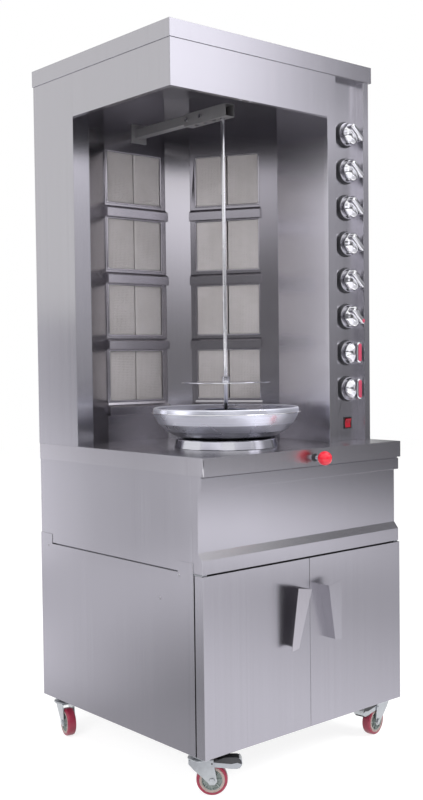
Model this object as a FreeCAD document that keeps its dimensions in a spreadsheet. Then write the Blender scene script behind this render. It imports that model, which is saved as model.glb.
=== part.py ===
import FreeCAD, Part
import math
import os
import re
import Sketcher

# Double gas doner kebab grill: a wheeled stand with two doors, a body under the worktop that
# holds the spit drive, and a tower with two banks of ceramic gas burners round an upright spit.
# Millimetres. X runs to the right, Y to the back, Z up. The origin is on the floor in the middle.

Vector = FreeCAD.Vector

SIZES = {
    # The main casing
    "width": 700,
    "depth": 700,
    "caster_height": 100,
    "stand_height": 427,
    "seam": 3,
    "unit_height": 228,
    "rim_height": 42,
    "tower_height": 974,
    "cap_height": 43,
    "cap_overhang": 2.5,
    "right_inset": 8,
    "tower_setback": 101,
    "canopy_height": 112,
    "canopy_lip": 14,
    "sheet": 1.5,
    "lip": 15,
    "slack": 0.3,
    "running": 0.05,
    # Stand, doors, hinges and handles
    "stand_front": 40,
    "stand_flange": 18,
    "stand_rail": 30,
    "tab_height": 27,
    "tab_length": 58,
    "tab_inset": 2,
    "door_front": 6,
    "door_thick": 30,
    "door_edge": 0.5,
    "door_gap": 2,
    "pin_side": 9,
    "pin_back": 16,
    "pin_radius": 3,
    "pin_length": 12,
    "hinge_plate": 2.4,
    "hinge_width": 16,
    "hinge_reach": 39,
    "handle_sheet": 1.5,
    "handle_side_top": 30.5,
    "handle_side_foot": 65,
    "handle_top": 358,
    "handle_foot": 215,
    "handle_stand_top": 37,
    "handle_stand_foot": 25,
    "handle_flange_top": 46.5,
    "handle_flange_foot": 23.5,
    "handle_rise": 9,
    "handle_drop": 4,
    # Body under the worktop and its folded apron
    "unit_front": 46,
    "unit_inset": 7.5,
    "unit_floor_front": 54,
    "apron_lip_front": 8,
    "apron_reveal": 4,
    "apron_lip_height": 30,
    "apron_face": 23,
    "apron_bevel_top": 50,
    "apron_foot_height": 33,
    "apron_foot_front": 9,
    "corner_radius": 3,
    # Plan of the cooking space
    "column_front": 509,
    "column_flange": 50,
    "liner_run": 97,
    "bank_depth": 577,
    "bank_width": 210,
    "post_run": 55,
    "post_drop": 47,
    "bank_turn": 59.04,
    "tail_length": 48.9,
    "column_step": 15,
    "column_width": 142,
    "column_strip": 32,
    "panel_recess": 25,
    # Burners
    "burner_count": 4,
    "burner_low": 115,
    "burner_pitch": 183.3,
    "opening_width": 184,
    "opening_height": 137,
    "outer_margin": 8,
    "frame_border": 4,
    "frame_proud": 1.5,
    "rail_drop": 40.5,
    "rail_height": 30,
    "rail_proud": 12,
    "rail_slope": 8,
    "plate_gap": 4,
    "plate_thick": 12,
    "plate_recess": 2,
    "box_width": 196,
    "box_height": 149,
    "box_depth": 55,
    "plenum_depth": 30,
    "plenum_ledge": 6,
    # Gas controls
    "knob_count": 8,
    "knob_x": 274,
    "knob_top": 829.8,
    "knob_pitch": 98.33,
    "knob_radius": 32,
    "knob_depth": 13,
    "knob_edge": 4,
    "knob_dome": 9,
    "grip_length": 60,
    "grip_width": 18,
    "grip_height": 24,
    "grip_angle": -40,
    "low_grip_angle": 90,
    "low_grip_count": 2,
    "knob_round": 2,
    "bezel_radius": 35,
    "bezel_depth": 13,
    "bezel_bevel": 1.5,
    "spindle_radius": 4,
    "spindle_reach": 14,
    "spindle_bore": 20,
    "valve_radius": 11,
    "valve_front": 22,
    "manifold_setback": 68,
    "manifold_radius": 10.65,
    "manifold_low": 70,
    "manifold_high": 860,
    "inlet_proud": 53,
    "inlet_joint": 50,
    "inlet_nut": 30,
    "inlet_nut_length": 14,
    "feed_radius": 3,
    "feed_lane_left": 54,
    "feed_lane_right": 29,
    "feed_back": 27,
    # Rocker switch
    "switch_x": 277,
    "switch_rise": 32.2,
    "switch_width": 29,
    "switch_height": 32,
    "switch_frame": 2.5,
    "switch_proud": 2.5,
    "switch_body": 20,
    "rocker_tilt": 8,
    "rocker_slack": 0.7,
    # Spit, drive and pan
    "spit_x": -85,
    "spit_y": -131,
    "spit_radius": 5,
    "spit_top": 850,
    "spit_foot": 50,
    "coupling_low": 68,
    "coupling_height": 24,
    "coupling_radius": 7,
    "cross_pin": 2,
    "cross_pin_drop": 3,
    "shaft_radius": 10,
    "shaft_clear": 2,
    "disc_radius": 114,
    "disc_thick": 2,
    "disc_low": 165,
    "disc_collar_radius": 10,
    "disc_collar_height": 16,
    "ring_radius": 135,
    "ring_top_radius": 129,
    "ring_height": 23.5,
    "tube_radius": 20,
    "slide_travel": 55,
    "slot_slack": 2,
    "pan_rim_radius": 188,
    "pan_rim_height": 103,
    "pan_flange_radius": 194,
    "pan_flange_height": 90,
    "pan_floor_radius": 105,
    "pan_hole_radius": 58,
    "pan_skirt": 8,
    "pan_rim_round": 2,
    "pan_rim_width": 6,
    "pan_dish_depth": 16,
    "pan_lip_drop": 5,
    "pan_sheet": 1.5,
    # Carriage under the worktop
    "carriage_width": 226,
    "carriage_length": 200,
    "carriage_thick": 3,
    "carriage_lead": 97,
    "carriage_drop": 27.2,
    "guide_length": 280,
    "guide_front": 50,
    "guide_flange": 12,
    "pull_x": 15,
    "pull_drop": 22,
    "pull_radius": 5,
    "tab_thick": 3,
    "tab_width": 30,
    "ball_radius": 18,
    "ball_out": 35,
    "grommet_radius": 9.5,
    "gearbox_width": 90,
    "gearbox_height": 50,
    "motor_radius": 35,
    "motor_height": 120,
    # Upper bearing of the spit
    "channel_width": 30,
    "channel_height": 32,
    "channel_low": 842,
    "channel_front": 191,
    "channel_length": 165,
    "channel_hole": 7,
    "channel_hole_pitch": 34,
    "channel_hole_count": 4,
    "rail_front": 250,
    "rail_bar": 24,
    "rail_foot": 52,
    "clamp_radius": 5,
    "clamp_head": 4,
    "clamp_shank": 3,
    "clamp_first": 98,
    "clamp_pitch": 55,
    # Casters
    "caster_inset_x": 30,
    "caster_inset_y": 60,
    "wheel_radius": 37.5,
    "wheel_width": 24,
    "hub_radius": 30,
    "hub_boss": 11,
    "axle_radius": 4,
    "axle_head": 6.5,
    "axle_head_depth": 3,
    "leg_foot": 12,
    "leg_drop": 10,
    "trail": 28,
    "fork_gap": 29,
    "fork_sheet": 2.5,
    "fork_crown": 84,
    "housing_radius": 29,
    "race_radius": 18,
    "stem_radius": 5.5,
    "stem_length": 20,
    "nut_width": 17,
    "nut_height": 8,
    "pedal_width": 26,
    "pedal_reach": 66,
    "pedal_fall": 13,
    "pedal_drop": 6,
    "pedal_pin": 2,
    # Mains lead entry
    "gland_x": 250,
    "gland_height": 110,
    "gland_radius": 12,
    "gland_thread": 8,
    "gland_bore": 4,
    "gland_length": 20,
}

CASTERS = {
    "front_left": (-1, -1, -40.7),
    "front_right": (1, -1, 189.0),
    "back_left": (-1, 1, -105.2),
    "back_right": (1, 1, -120.0),
}

doc = FreeCAD.newDocument("DonerGrill")
sheet = doc.addObject("Spreadsheet::Sheet", "Sizes")
subparts = []


# The sheet, and expressions that read it

def keep(name, value):
    """Holds a place worked out from the sizes, for the sheet to carry too."""
    SIZES[name] = value
    return value


def size(name):
    """Reads one number."""
    return SIZES[name]


def fill_sheet():
    """Writes every number as text into one column, with its name as the cell's alias."""
    for row, (name, value) in enumerate(SIZES.items(), start=1):
        cell = "A" + str(row)
        sheet.set(cell, repr(round(float(value), 6)))
        sheet.setAlias(cell, name)
    doc.recompute()


def link(text):
    """Turns the names in an expression into references to the sheet."""
    def refer(found):
        word = found.group(0)
        return "Sizes." + word if word in SIZES else word
    return re.sub(r"[a-z][a-z_0-9]*", refer, str(text))


# Pieces

def place(piece, x=0, y=0, z=0, turn=None):
    """Binds a piece's place, and its turn about Z, to the sheet."""
    if turn is not None:
        piece.Placement = FreeCAD.Placement(Vector(), FreeCAD.Rotation(Vector(0, 0, 1), 0))
        piece.setExpression("Placement.Rotation.Angle", link(turn))
    for axis, text in (("x", x), ("y", y), ("z", z)):
        piece.setExpression("Placement.Base." + axis, link(text))
    return piece


def block(name, corner, lengths):
    """A box from its lowest corner and its three lengths."""
    piece = doc.addObject("Part::Box", name)
    for field, text in zip(("Length", "Width", "Height"), lengths):
        piece.setExpression(field, link(text))
    return place(piece, *corner)


TURNS = {
    "x": FreeCAD.Rotation(Vector(0, 1, 0), 90),
    "y": FreeCAD.Rotation(Vector(1, 0, 0), -90),
    "z": FreeCAD.Rotation(),
}


def rod(name, foot, radius, length, along="z"):
    """A round bar from the middle of its foot along one axis."""
    piece = doc.addObject("Part::Cylinder", name)
    piece.setExpression("Radius", link(radius))
    piece.setExpression("Height", link(length))
    piece.Placement = FreeCAD.Placement(Vector(), TURNS[along])
    return place(piece, *foot)


def merge(name, pieces):
    """One solid from pieces that are welded together."""
    piece = doc.addObject("Part::MultiFuse", name)
    piece.Shapes = pieces
    piece.Refine = True
    return piece


def cut(name, base, tools):
    """A piece with openings made in it."""
    tool = tools[0]
    if len(tools) > 1:
        tool = gather(name + "_tools", tools)
    piece = doc.addObject("Part::Cut", name)
    piece.Base = base
    piece.Tool = tool
    return piece


def gather(name, pieces):
    """Several pieces kept apart in one group."""
    piece = doc.addObject("Part::Compound", name)
    piece.Links = pieces
    return piece


def origin_plane(body, role):
    """One of a body's own origin planes or axes."""
    for feature in body.Origin.OriginFeatures:
        if feature.Role == role:
            return feature
    raise ValueError(role)


def draw_polygon(body, name, points, role):
    """A closed sketch whose corners are bound to the sheet. Each corner is two expressions."""
    sketch = body.newObject("Sketcher::SketchObject", name)
    sketch.AttachmentSupport = [(origin_plane(body, role), "")]
    sketch.MapMode = "FlatFace"
    numbers = []
    for corner in points:
        numbers.append([float(sheet.evalExpression(link(text))) for text in corner])
    count = len(points)
    for index in range(count):
        start = Vector(*numbers[index], 0)
        end = Vector(*numbers[(index + 1) % count], 0)
        sketch.addGeometry(Part.LineSegment(start, end))
    for index in range(count):
        sketch.addConstraint(Sketcher.Constraint("Coincident", index, 2, (index + 1) % count, 1))
    for index in range(count):
        for axis, kind in enumerate(("DistanceX", "DistanceY")):
            value = numbers[index][axis]
            row = sketch.addConstraint(Sketcher.Constraint(kind, -1, 1, index, 1, value))
            sketch.setExpression("Constraints[" + str(row) + "]", link(points[index][axis]))
    return sketch


def draw_circle(body, name, radius, role):
    """A sketched circle about the body's own origin."""
    sketch = body.newObject("Sketcher::SketchObject", name)
    sketch.AttachmentSupport = [(origin_plane(body, role), "")]
    sketch.MapMode = "FlatFace"
    start = float(sheet.evalExpression(link(radius)))
    sketch.addGeometry(Part.Circle(Vector(), Vector(0, 0, 1), start))
    sketch.addConstraint(Sketcher.Constraint("Coincident", 0, 3, -1, 1))
    row = sketch.addConstraint(Sketcher.Constraint("Radius", 0, start))
    sketch.setExpression("Constraints[" + str(row) + "]", link(radius))
    return sketch


def padded(body, sketch, length, middle=False):
    """A pad of a sketch, upwards or to both sides."""
    pad = body.newObject("PartDesign::Pad", sketch.Name + "_pad")
    pad.Profile = sketch
    pad.setExpression("Length", link(length))
    if middle:
        pad.Midplane = True
    return pad


def upright(name, points, low, height):
    """A sheet or bar with one plan, standing at a height."""
    body = doc.addObject("PartDesign::Body", name)
    padded(body, draw_polygon(body, name + "_plan", points, "XY_Plane"), height)
    return place(body, z=low)


def spun(body, name, points):
    """Turns a profile of radius and height pairs into a body's own round form."""
    sketch = draw_polygon(body, name + "_profile", points, "XZ_Plane")
    spin = body.newObject("PartDesign::Revolution", name + "_turn")
    spin.Profile = sketch
    spin.ReferenceAxis = (sketch, ["V_Axis"])
    spin.Angle = 360


def crosswise(name, points, length):
    """A folded piece with one side view, the same all along X and centred on X = 0."""
    body = doc.addObject("PartDesign::Body", name)
    padded(body, draw_polygon(body, name + "_side", points, "YZ_Plane"), length, middle=True)
    return body


def turned(name, points, x=0, y=0, z=0):
    """A round piece about an upright axis, from radius and height pairs."""
    body = doc.addObject("PartDesign::Body", name)
    spun(body, name, points)
    return place(body, x, y, z)


def lay(piece, x=0, y=0, z=0):
    """Lays a piece made about Z along -Y, as a knob lies on the front."""
    piece.Placement = FreeCAD.Placement(Vector(), FreeCAD.Rotation(Vector(1, 0, 0), 90))
    return place(piece, x, y, z)


def formed(name, shape):
    """A piece whose shape is made directly."""
    piece = doc.addObject("Part::Feature", name)
    piece.Shape = shape
    return piece


def node(name, piece):
    """Names a finished sub-part."""
    piece.Label = name
    subparts.append(piece)
    return piece


# Thin folded sheet seen edge on

def offset_corners(points, thickness):
    """The other side of a folded sheet: each corner moved left of the line, mitred."""
    moved = []
    last = len(points) - 1
    for index, (x, y) in enumerate(points):
        normals = []
        for first in (index - 1, index):
            if 0 <= first < last:
                run_x = points[first + 1][0] - points[first][0]
                run_y = points[first + 1][1] - points[first][1]
                length = math.hypot(run_x, run_y)
                normals.append((-run_y / length, run_x / length))
        across_x = sum(normal[0] for normal in normals) / len(normals)
        across_y = sum(normal[1] for normal in normals) / len(normals)
        reach = thickness / (across_x ** 2 + across_y ** 2)
        moved.append((x + across_x * reach, y + across_y * reach))
    return moved


def keep_corners(name, points):
    """Keeps a list of corners as places and returns their names as expressions."""
    names = []
    for index, (x, y) in enumerate(points):
        keep(name + "_a" + str(index), x)
        keep(name + "_b" + str(index), y)
        names.append((name + "_a" + str(index), name + "_b" + str(index)))
    return names


def folded(name, points, thickness):
    """The closed outline of a folded sheet, kept as places."""
    return keep_corners(name, list(points) + offset_corners(points, thickness)[::-1])


# Places worked out from the sizes

keep("half_width", size("width") / 2)
keep("half_depth", size("depth") / 2)
keep("stand_top", size("caster_height") + size("stand_height"))
keep("unit_low", size("stand_top") + size("seam"))
keep("unit_top", size("unit_low") + size("unit_height"))
keep("deck", size("unit_top") + size("rim_height"))
keep("deck_under", size("deck") - size("sheet"))
keep("tower_top", size("deck") + size("tower_height"))
keep("tower_front", size("tower_setback") - size("half_depth"))
keep("panel_front", size("tower_front") + size("panel_recess"))
keep("canopy_low", size("tower_top") - size("canopy_height"))
keep("skin", size("half_width") - size("sheet"))
keep("slide_plate_low", size("deck_under") - size("carriage_drop"))
keep("burner_floor", size("deck") + size("burner_low"))
keep("spit_bottom", size("deck") + size("spit_foot"))


def plan_corners():
    """The wall round the cooking space, from the left skin to the front control panel."""
    front = -size("half_depth")
    turn = math.radians(size("bank_turn"))
    along_x = math.cos(turn)
    along_y = -math.sin(turn)
    corners = [(-size("skin"), front + size("column_front"))]
    corners.append((-size("half_width") + size("column_flange"), corners[0][1]))
    corners.append((corners[1][0] + size("liner_run"), front + size("bank_depth")))
    corners.append((corners[2][0] + size("bank_width"), corners[2][1]))
    corners.append((corners[3][0] + size("post_run"), corners[3][1] - size("post_drop")))
    reach = size("bank_width") + size("tail_length")
    corners.append((corners[4][0] + reach * along_x, corners[4][1] + reach * along_y))
    corners.append((corners[5][0], size("tower_front") + size("column_step")))
    corners.append((corners[6][0] - size("column_step"), corners[6][1]))
    corners.append((corners[7][0], size("tower_front")))
    strip_end = corners[8][0] + size("column_strip")
    panel_end = corners[8][0] + size("column_width")
    corners.append((strip_end, size("tower_front")))
    corners.append((strip_end, size("panel_front")))
    corners.append((panel_end, size("panel_front")))
    corners.append((panel_end, size("tower_front") + size("sheet")))
    return corners


plan = plan_corners()
plan_back = offset_corners(plan, size("sheet"))
keep("left_bank_x", plan[2][0])
keep("left_bank_y", plan[2][1])
keep("left_bank_angle", 0)
keep("right_bank_x", plan[4][0])
keep("right_bank_y", plan[4][1])
keep("right_bank_angle", -size("bank_turn"))
keep("column_left", plan[8][0])
keep("column_right", plan[-1][0])
keep("strip_right", plan[9][0])
keep("column_front_y", plan[1][1])

wall_names = ("flange_plan", "liner_plan", "left_wall_plan", "post_plan", "right_wall_plan")
wall_plans = {}
for index, wall_name in enumerate(wall_names):
    wall = [plan[index], plan[index + 1], plan_back[index + 1], plan_back[index]]
    wall_plans[wall_name] = keep_corners(wall_name, wall)
column_plan = keep_corners("column_plan", plan[5:] + plan_back[5:][::-1])
ceiling_front = size("tower_front") + size("sheet")
ceiling_corners = plan[:8] + [(plan[7][0], ceiling_front), (-size("skin"), ceiling_front)]
ceiling_plan = keep_corners("ceiling_plan", ceiling_corners)

front_edge = -size("half_depth")
apron_foot = front_edge + size("apron_foot_front")
apron_face = front_edge + size("apron_face")
apron_lip = front_edge + size("apron_lip_front")
apron_low = size("unit_low")
apron_high = size("unit_top")
reveal = size("apron_reveal")
apron_corners = [
    (front_edge + size("unit_front"), apron_high),
    (apron_lip + reveal, apron_high),
    (apron_lip + reveal, apron_high - reveal),
    (apron_lip, apron_high - reveal),
    (apron_lip, apron_high - reveal - size("apron_lip_height")),
    (apron_face, apron_high - reveal - size("apron_lip_height") - 2),
    (apron_face, apron_low + size("apron_bevel_top")),
    (apron_foot, apron_low + size("apron_foot_height")),
    (apron_foot, apron_low),
    (front_edge + size("unit_front"), apron_low),
]
apron_solid = keep_corners("apron_outer", apron_corners)
apron_inner_corners = offset_corners(apron_corners, size("sheet"))
apron_hollow = keep_corners("apron_inner", apron_inner_corners)

rail_corners = [
    (0, 0),
    (-size("rail_proud"), 0),
    (-size("rail_proud"), size("rail_height") - size("rail_slope")),
    (0, size("rail_height")),
]
rail_side = keep_corners("rail_side", rail_corners)

# The bowl's curve: each pair is a share of the way out to the rim and up to the flange
BOWL_CURVE = ((0, 0), (0.33, 0.10), (0.62, 0.30), (0.84, 0.58), (0.97, 0.90), (1, 1))

pan_floor = size("ring_height") + size("slack")
pan_rim = size("pan_rim_height")
pan_radius = size("pan_rim_radius")
pan_hole = size("pan_hole_radius")
pan_round = size("pan_rim_round")
pan_corners = [(pan_hole + size("pan_skirt"), pan_floor)]
for out, up in BOWL_CURVE:
    bowl_x = size("pan_floor_radius") + out * (pan_radius - size("pan_floor_radius"))
    pan_corners.append((bowl_x, pan_floor + up * (size("pan_flange_height") - pan_floor)))
pan_corners += [
    (pan_radius, pan_rim - pan_round),
    (pan_radius - pan_round, pan_rim),
    (pan_radius - size("pan_rim_width"), pan_rim),
    (pan_radius - size("pan_rim_width") - pan_round - 1, pan_rim - pan_round - 1),
    (pan_hole + 2 * size("pan_skirt"), pan_rim - size("pan_dish_depth")),
    (pan_hole + size("pan_skirt") / 2, pan_rim - size("pan_lip_drop") - 4),
    (pan_hole, pan_rim - size("pan_lip_drop")),
]
pan_profile = folded("pan_profile", pan_corners, size("pan_sheet"))

ring_corners = [
    (size("ring_radius"), size("slack")),
    (size("ring_top_radius"), size("ring_height")),
    (size("shaft_radius") + size("shaft_clear"), size("ring_height")),
]
ring_inner = offset_corners(ring_corners, size("sheet"))
ring_inner[0] = (ring_inner[0][0], size("slack"))
ring_profile = keep_corners("ring_profile", ring_corners + ring_inner[::-1])


def rocker_corners():
    """The side view of the rocker, tipped to its resting place about its own pivot."""
    tilt = math.radians(size("rocker_tilt"))
    half = size("switch_height") / 2 - size("switch_frame") - size("rocker_slack") - 0.5
    corners = [(4, -half + 4), (4, half - 4), (-6, half), (-3.5, 0), (-6, -half)]
    tipped = []
    for y, z in corners:
        tipped_y = y * math.cos(tilt) - z * math.sin(tilt)
        tipped.append((tipped_y, y * math.sin(tilt) + z * math.cos(tilt)))
    return tipped


rocker_side = keep_corners("rocker_side", rocker_corners())

fill_sheet()


# Stand

def build_stand():
    """The cupboard under the grill: shell, floor, two tray doors, pivots and handles."""
    front = "-half_depth + stand_front"
    skins = []
    for side, x in (("left", "-half_width"), ("right", "half_width - sheet")):
        name = "stand_" + side
        skins.append(block(name, (x, front, "caster_height"),
                           ("sheet", "depth - stand_front", "stand_height")))
        for tab, y in (("front", front + " + tab_inset"),
                       ("back", "half_depth - tab_length + tab_inset")):
            skins.append(block(name + "_tab_" + tab, (x, y, "stand_top - sheet"),
                               ("sheet", "tab_length - tab_inset", "tab_height + sheet")))
    skins.append(block("stand_back", ("-half_width", "half_depth - sheet", "caster_height"),
                       ("width", "sheet", "stand_height")))
    skins.append(block("stand_deck", ("-half_width", front, "stand_top - sheet"),
                       ("width", "depth - stand_front", "sheet")))
    for side, x in (("left", "-half_width"), ("right", "half_width - stand_flange")):
        skins.append(block("stand_flange_" + side, (x, front, "caster_height"),
                           ("stand_flange", "sheet", "stand_height")))
    skins.append(block("stand_lintel", ("-half_width", front, "stand_top - stand_rail"),
                       ("width", "sheet", "stand_rail")))
    node("stand_shell", merge("StandShell", skins))
    floor = block("floor_plate", ("-skin", front + " + sheet", "caster_height"),
                  ("2 * skin", "depth - stand_front - 2 * sheet", "sheet"))
    sill = block("floor_sill", ("-half_width + stand_flange", front + " + sheet", "caster_height"),
                 ("width - 2 * stand_flange", "sheet", "lip"))
    holes = []
    for name, (right, back, turn) in CASTERS.items():
        x, y = caster_place(right, back)
        holes.append(rod(name + "_stem_hole", (x, y, "caster_height - 1"),
                         "stem_radius + running", "lip"))
    node("stand_floor", cut("StandFloor", merge("FloorTray", [floor, sill]), holes))


def build_doors():
    """Two tray doors on upright pivots near their outer edges."""
    width = "half_width - door_edge - door_gap / 2"
    low = "caster_height + slack"
    height = "stand_height - 2 * slack"
    front = "-half_depth + door_front"
    brackets = []
    for side, sign in (("left", "-1"), ("right", "1")):
        pin_x = sign + " * (half_width - pin_side)"
        pin_y = front + " + door_thick - pin_back"
        if side == "left":
            corner_x = "-half_width + door_edge"
        else:
            corner_x = "door_gap / 2"
        outer = block(side + "_door_outer", (corner_x, front, low), (width, "door_thick", height))
        inner = block(side + "_door_inner",
                      (corner_x + " + sheet", front + " + sheet", low + " + sheet"),
                      (width + " - 2 * sheet", "door_thick", height + " - 2 * sheet"))
        hole = rod(side + "_door_pivot_hole", (pin_x, pin_y, "caster_height - 5"),
                   "pin_radius + running", "stand_height + 10")
        node(side + "_door", cut(side.title() + "Door", outer, [inner, hole]))
        if side == "left":
            plate_x = "-skin + slack"
        else:
            plate_x = "skin - slack - hinge_width"
        for level in ("foot", "head"):
            plate_z = "caster_height - hinge_plate"
            pin_z = plate_z
            if level == "head":
                plate_z = "stand_top"
                pin_z = "stand_top + hinge_plate - pin_length"
            name = side + "_" + level
            plate = block(name + "_leaf", (plate_x, pin_y + " - hinge_width / 2", plate_z),
                          ("hinge_width", "hinge_reach", "hinge_plate"))
            pin = rod(name + "_pin", (pin_x, pin_y, pin_z), "pin_radius", "pin_length")
            brackets.append(merge(name + "_pivot", [plate, pin]))
        node(side + "_handle", build_handle(side))
    node("door_hinges", gather("DoorHinges", brackets))


def build_handle(side):
    """A bent sheet: a slanting web that stands off the door and a flange turned outwards."""
    sign = -1 if side == "left" else 1
    door = -size("half_depth") + size("door_front")
    high = size("caster_height") + size("handle_top")
    low = size("caster_height") + size("handle_foot")
    thick = size("handle_sheet")
    near_high = Vector(sign * size("handle_side_top"), door, high)
    near_low = Vector(sign * size("handle_side_foot"), door, low)
    far_high = near_high - Vector(0, size("handle_stand_top"), 0)
    far_low = near_low - Vector(0, size("handle_stand_foot"), 0)
    lean = (size("handle_stand_top") - size("handle_stand_foot")) / (high - low)
    rise = size("handle_rise")
    drop = size("handle_drop")
    edge_high = far_high + Vector(sign * size("handle_flange_top"), -lean * rise, rise)
    edge_low = far_low + Vector(sign * size("handle_flange_foot"), lean * drop, -drop)
    web = Part.Face(Part.makePolygon([near_high, near_low, far_low, far_high, near_high]))
    flange = Part.Face(Part.makePolygon([far_high, far_low, edge_low, edge_high, far_high]))
    web_solid = web.extrude(Vector(sign * thick, 0, 0))
    flange_solid = flange.extrude(Vector(0, thick, 0))
    return formed(side.title() + "Handle", web_solid.fuse(flange_solid).removeSplitter())


# Casters

def caster_place(right, back):
    """The place of a caster's stem, in expressions."""
    x = str(right) + " * (half_width - caster_inset_x)"
    y = str(back) + " * (half_depth - caster_inset_y)"
    return x, y


def build_casters():
    """Four swivel casters, each trailing its own way, with brakes on the front pair."""
    for name, (right, back, turn) in CASTERS.items():
        x, y = caster_place(right, back)
        node("caster_fork_" + name, place(build_fork(name), x, y, 0, turn))
        node("caster_wheel_" + name, place(build_wheel(name), x, y, 0, turn))
        if back < 0:
            node("caster_pedal_" + name, place(build_pedal(name), x, y, 0, turn))


def build_fork(name):
    """A pressed fork with its swivel housing, stem, axle bolt and lock nut."""
    legs = []
    crown_back = "-housing_radius + 2"
    crown_front = "trail + 4"
    outline = [
        (crown_back, "fork_crown + fork_sheet"),
        (crown_back, "fork_crown - 6"),
        (crown_back + " + leg_foot", "fork_crown - 2 * leg_drop"),
        ("trail - leg_foot", "wheel_radius - 2"),
        ("trail - leg_foot / 2", "wheel_radius - leg_drop"),
        ("trail + leg_foot / 2", "wheel_radius - leg_drop"),
        ("trail + leg_foot", "wheel_radius - 2"),
        (crown_front, "fork_crown - 4"),
        (crown_front, "fork_crown + fork_sheet"),
    ]
    for side, y in (("near", "-fork_gap / 2"), ("far", "fork_gap / 2 + fork_sheet")):
        leg = doc.addObject("PartDesign::Body", name + "_leg_" + side)
        sketch = draw_polygon(leg, name + "_leg_side_" + side, outline, "XZ_Plane")
        padded(leg, sketch, "fork_sheet")
        legs.append(place(leg, 0, y, 0))
    crown = block(name + "_crown", (crown_back, "-fork_gap / 2", "fork_crown"),
                  ("trail + 2 + housing_radius", "fork_gap", "fork_sheet"))
    crown_top = "fork_crown + fork_sheet"
    housing = turned(name + "_housing", [
        ("0", crown_top),
        ("housing_radius", crown_top),
        ("housing_radius", crown_top + " + 3"),
        ("race_radius", "caster_height - slack - 5"),
        ("race_radius - 7", "caster_height - slack"),
        ("0", "caster_height - slack"),
    ])
    stem = rod(name + "_stem", (0, 0, "fork_crown"), "stem_radius",
               "caster_height - fork_crown + stem_length")
    near = "-fork_gap / 2 - fork_sheet - axle_head_depth"
    axle = rod(name + "_axle", ("trail", near, "wheel_radius"), "axle_radius",
               "fork_gap + 2 * fork_sheet + 2 * axle_head_depth", "y")
    heads = []
    for side, y in (("near", near), ("far", "fork_gap / 2 + fork_sheet")):
        heads.append(rod(name + "_head_" + side, ("trail", y, "wheel_radius"), "axle_head",
                         "axle_head_depth", "y"))
    fork = merge(name + "_fork", legs + [crown, housing, stem, axle] + heads)
    if name.startswith("front"):
        hole = rod(name + "_pedal_hole", ("trail", "-fork_gap", "fork_crown - pedal_drop"),
                   "pedal_pin + running", "2 * fork_gap", "y")
        fork = cut(name + "_fork_drilled", fork, [hole])
    nut = doc.addObject("Part::Prism", name + "_nut_body")
    nut.Polygon = 6
    nut.setExpression("Circumradius", link("nut_width / 2 / cos(30)"))
    nut.setExpression("Height", link("nut_height"))
    place(nut, 0, 0, "caster_height + sheet + slack")
    bore = rod(name + "_nut_bore", (0, 0, "caster_height"), "stem_radius + running", "stem_length + 5")
    return gather(name + "_fork_and_nut", [fork, cut(name + "_nut", nut, [bore])])


def build_wheel(name):
    """A soft tyre on a moulded hub."""
    half = "wheel_width / 2"
    tyre = turned(name + "_tyre", [
        ("hub_radius", "-" + half),
        ("wheel_radius - 3", "-" + half),
        ("wheel_radius - 0.8", "-" + half + " + 2"),
        ("wheel_radius", "-" + half + " + 5"),
        ("wheel_radius", half + " - 5"),
        ("wheel_radius - 0.8", half + " - 2"),
        ("wheel_radius - 3", half),
        ("hub_radius", half),
    ])
    bore = "axle_radius + running"
    hub = turned(name + "_hub", [
        (bore, "-fork_gap / 2 + slack"),
        ("hub_boss", "-fork_gap / 2 + slack"),
        ("hub_boss", "-" + half + " + 5"),
        ("hub_radius - 4", "-" + half + " + 5"),
        ("hub_radius - 3", "-" + half),
        ("hub_radius", "-" + half),
        ("hub_radius", half),
        ("hub_radius - 3", half),
        ("hub_radius - 4", half + " - 5"),
        ("hub_boss", half + " - 5"),
        ("hub_boss", "fork_gap / 2 - slack"),
        (bore, "fork_gap / 2 - slack"),
    ])
    for part in (tyre, hub):
        lay(part, "trail", 0, "wheel_radius")
    return gather(name + "_wheel", [tyre, hub])


def build_pedal(name):
    """A foot brake: a bent plate on a cross pin between the fork's legs."""
    pivot_x = "trail"
    pivot_z = "fork_crown - pedal_drop"
    plate = doc.addObject("PartDesign::Body", name + "_pedal_plate")
    sketch = draw_polygon(plate, name + "_pedal_side", [
        ("trail - 4", pivot_z + " + 3.5"),
        ("trail - 4", pivot_z + " - 0.2"),
        ("trail + 10", pivot_z + " - 0.2"),
        ("trail + pedal_reach", pivot_z + " - pedal_fall"),
        ("trail + pedal_reach", pivot_z + " - pedal_fall + 4"),
        ("trail + 12", pivot_z + " + 3.5"),
    ], "XZ_Plane")
    padded(plate, sketch, "pedal_width", middle=True)
    pin = rod(name + "_pedal_pin", (pivot_x, "-fork_gap / 2 - fork_sheet", pivot_z), "pedal_pin",
              "fork_gap + 2 * fork_sheet", "y")
    return merge(name + "_pedal", [plate, pin])


# Body under the worktop

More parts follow.
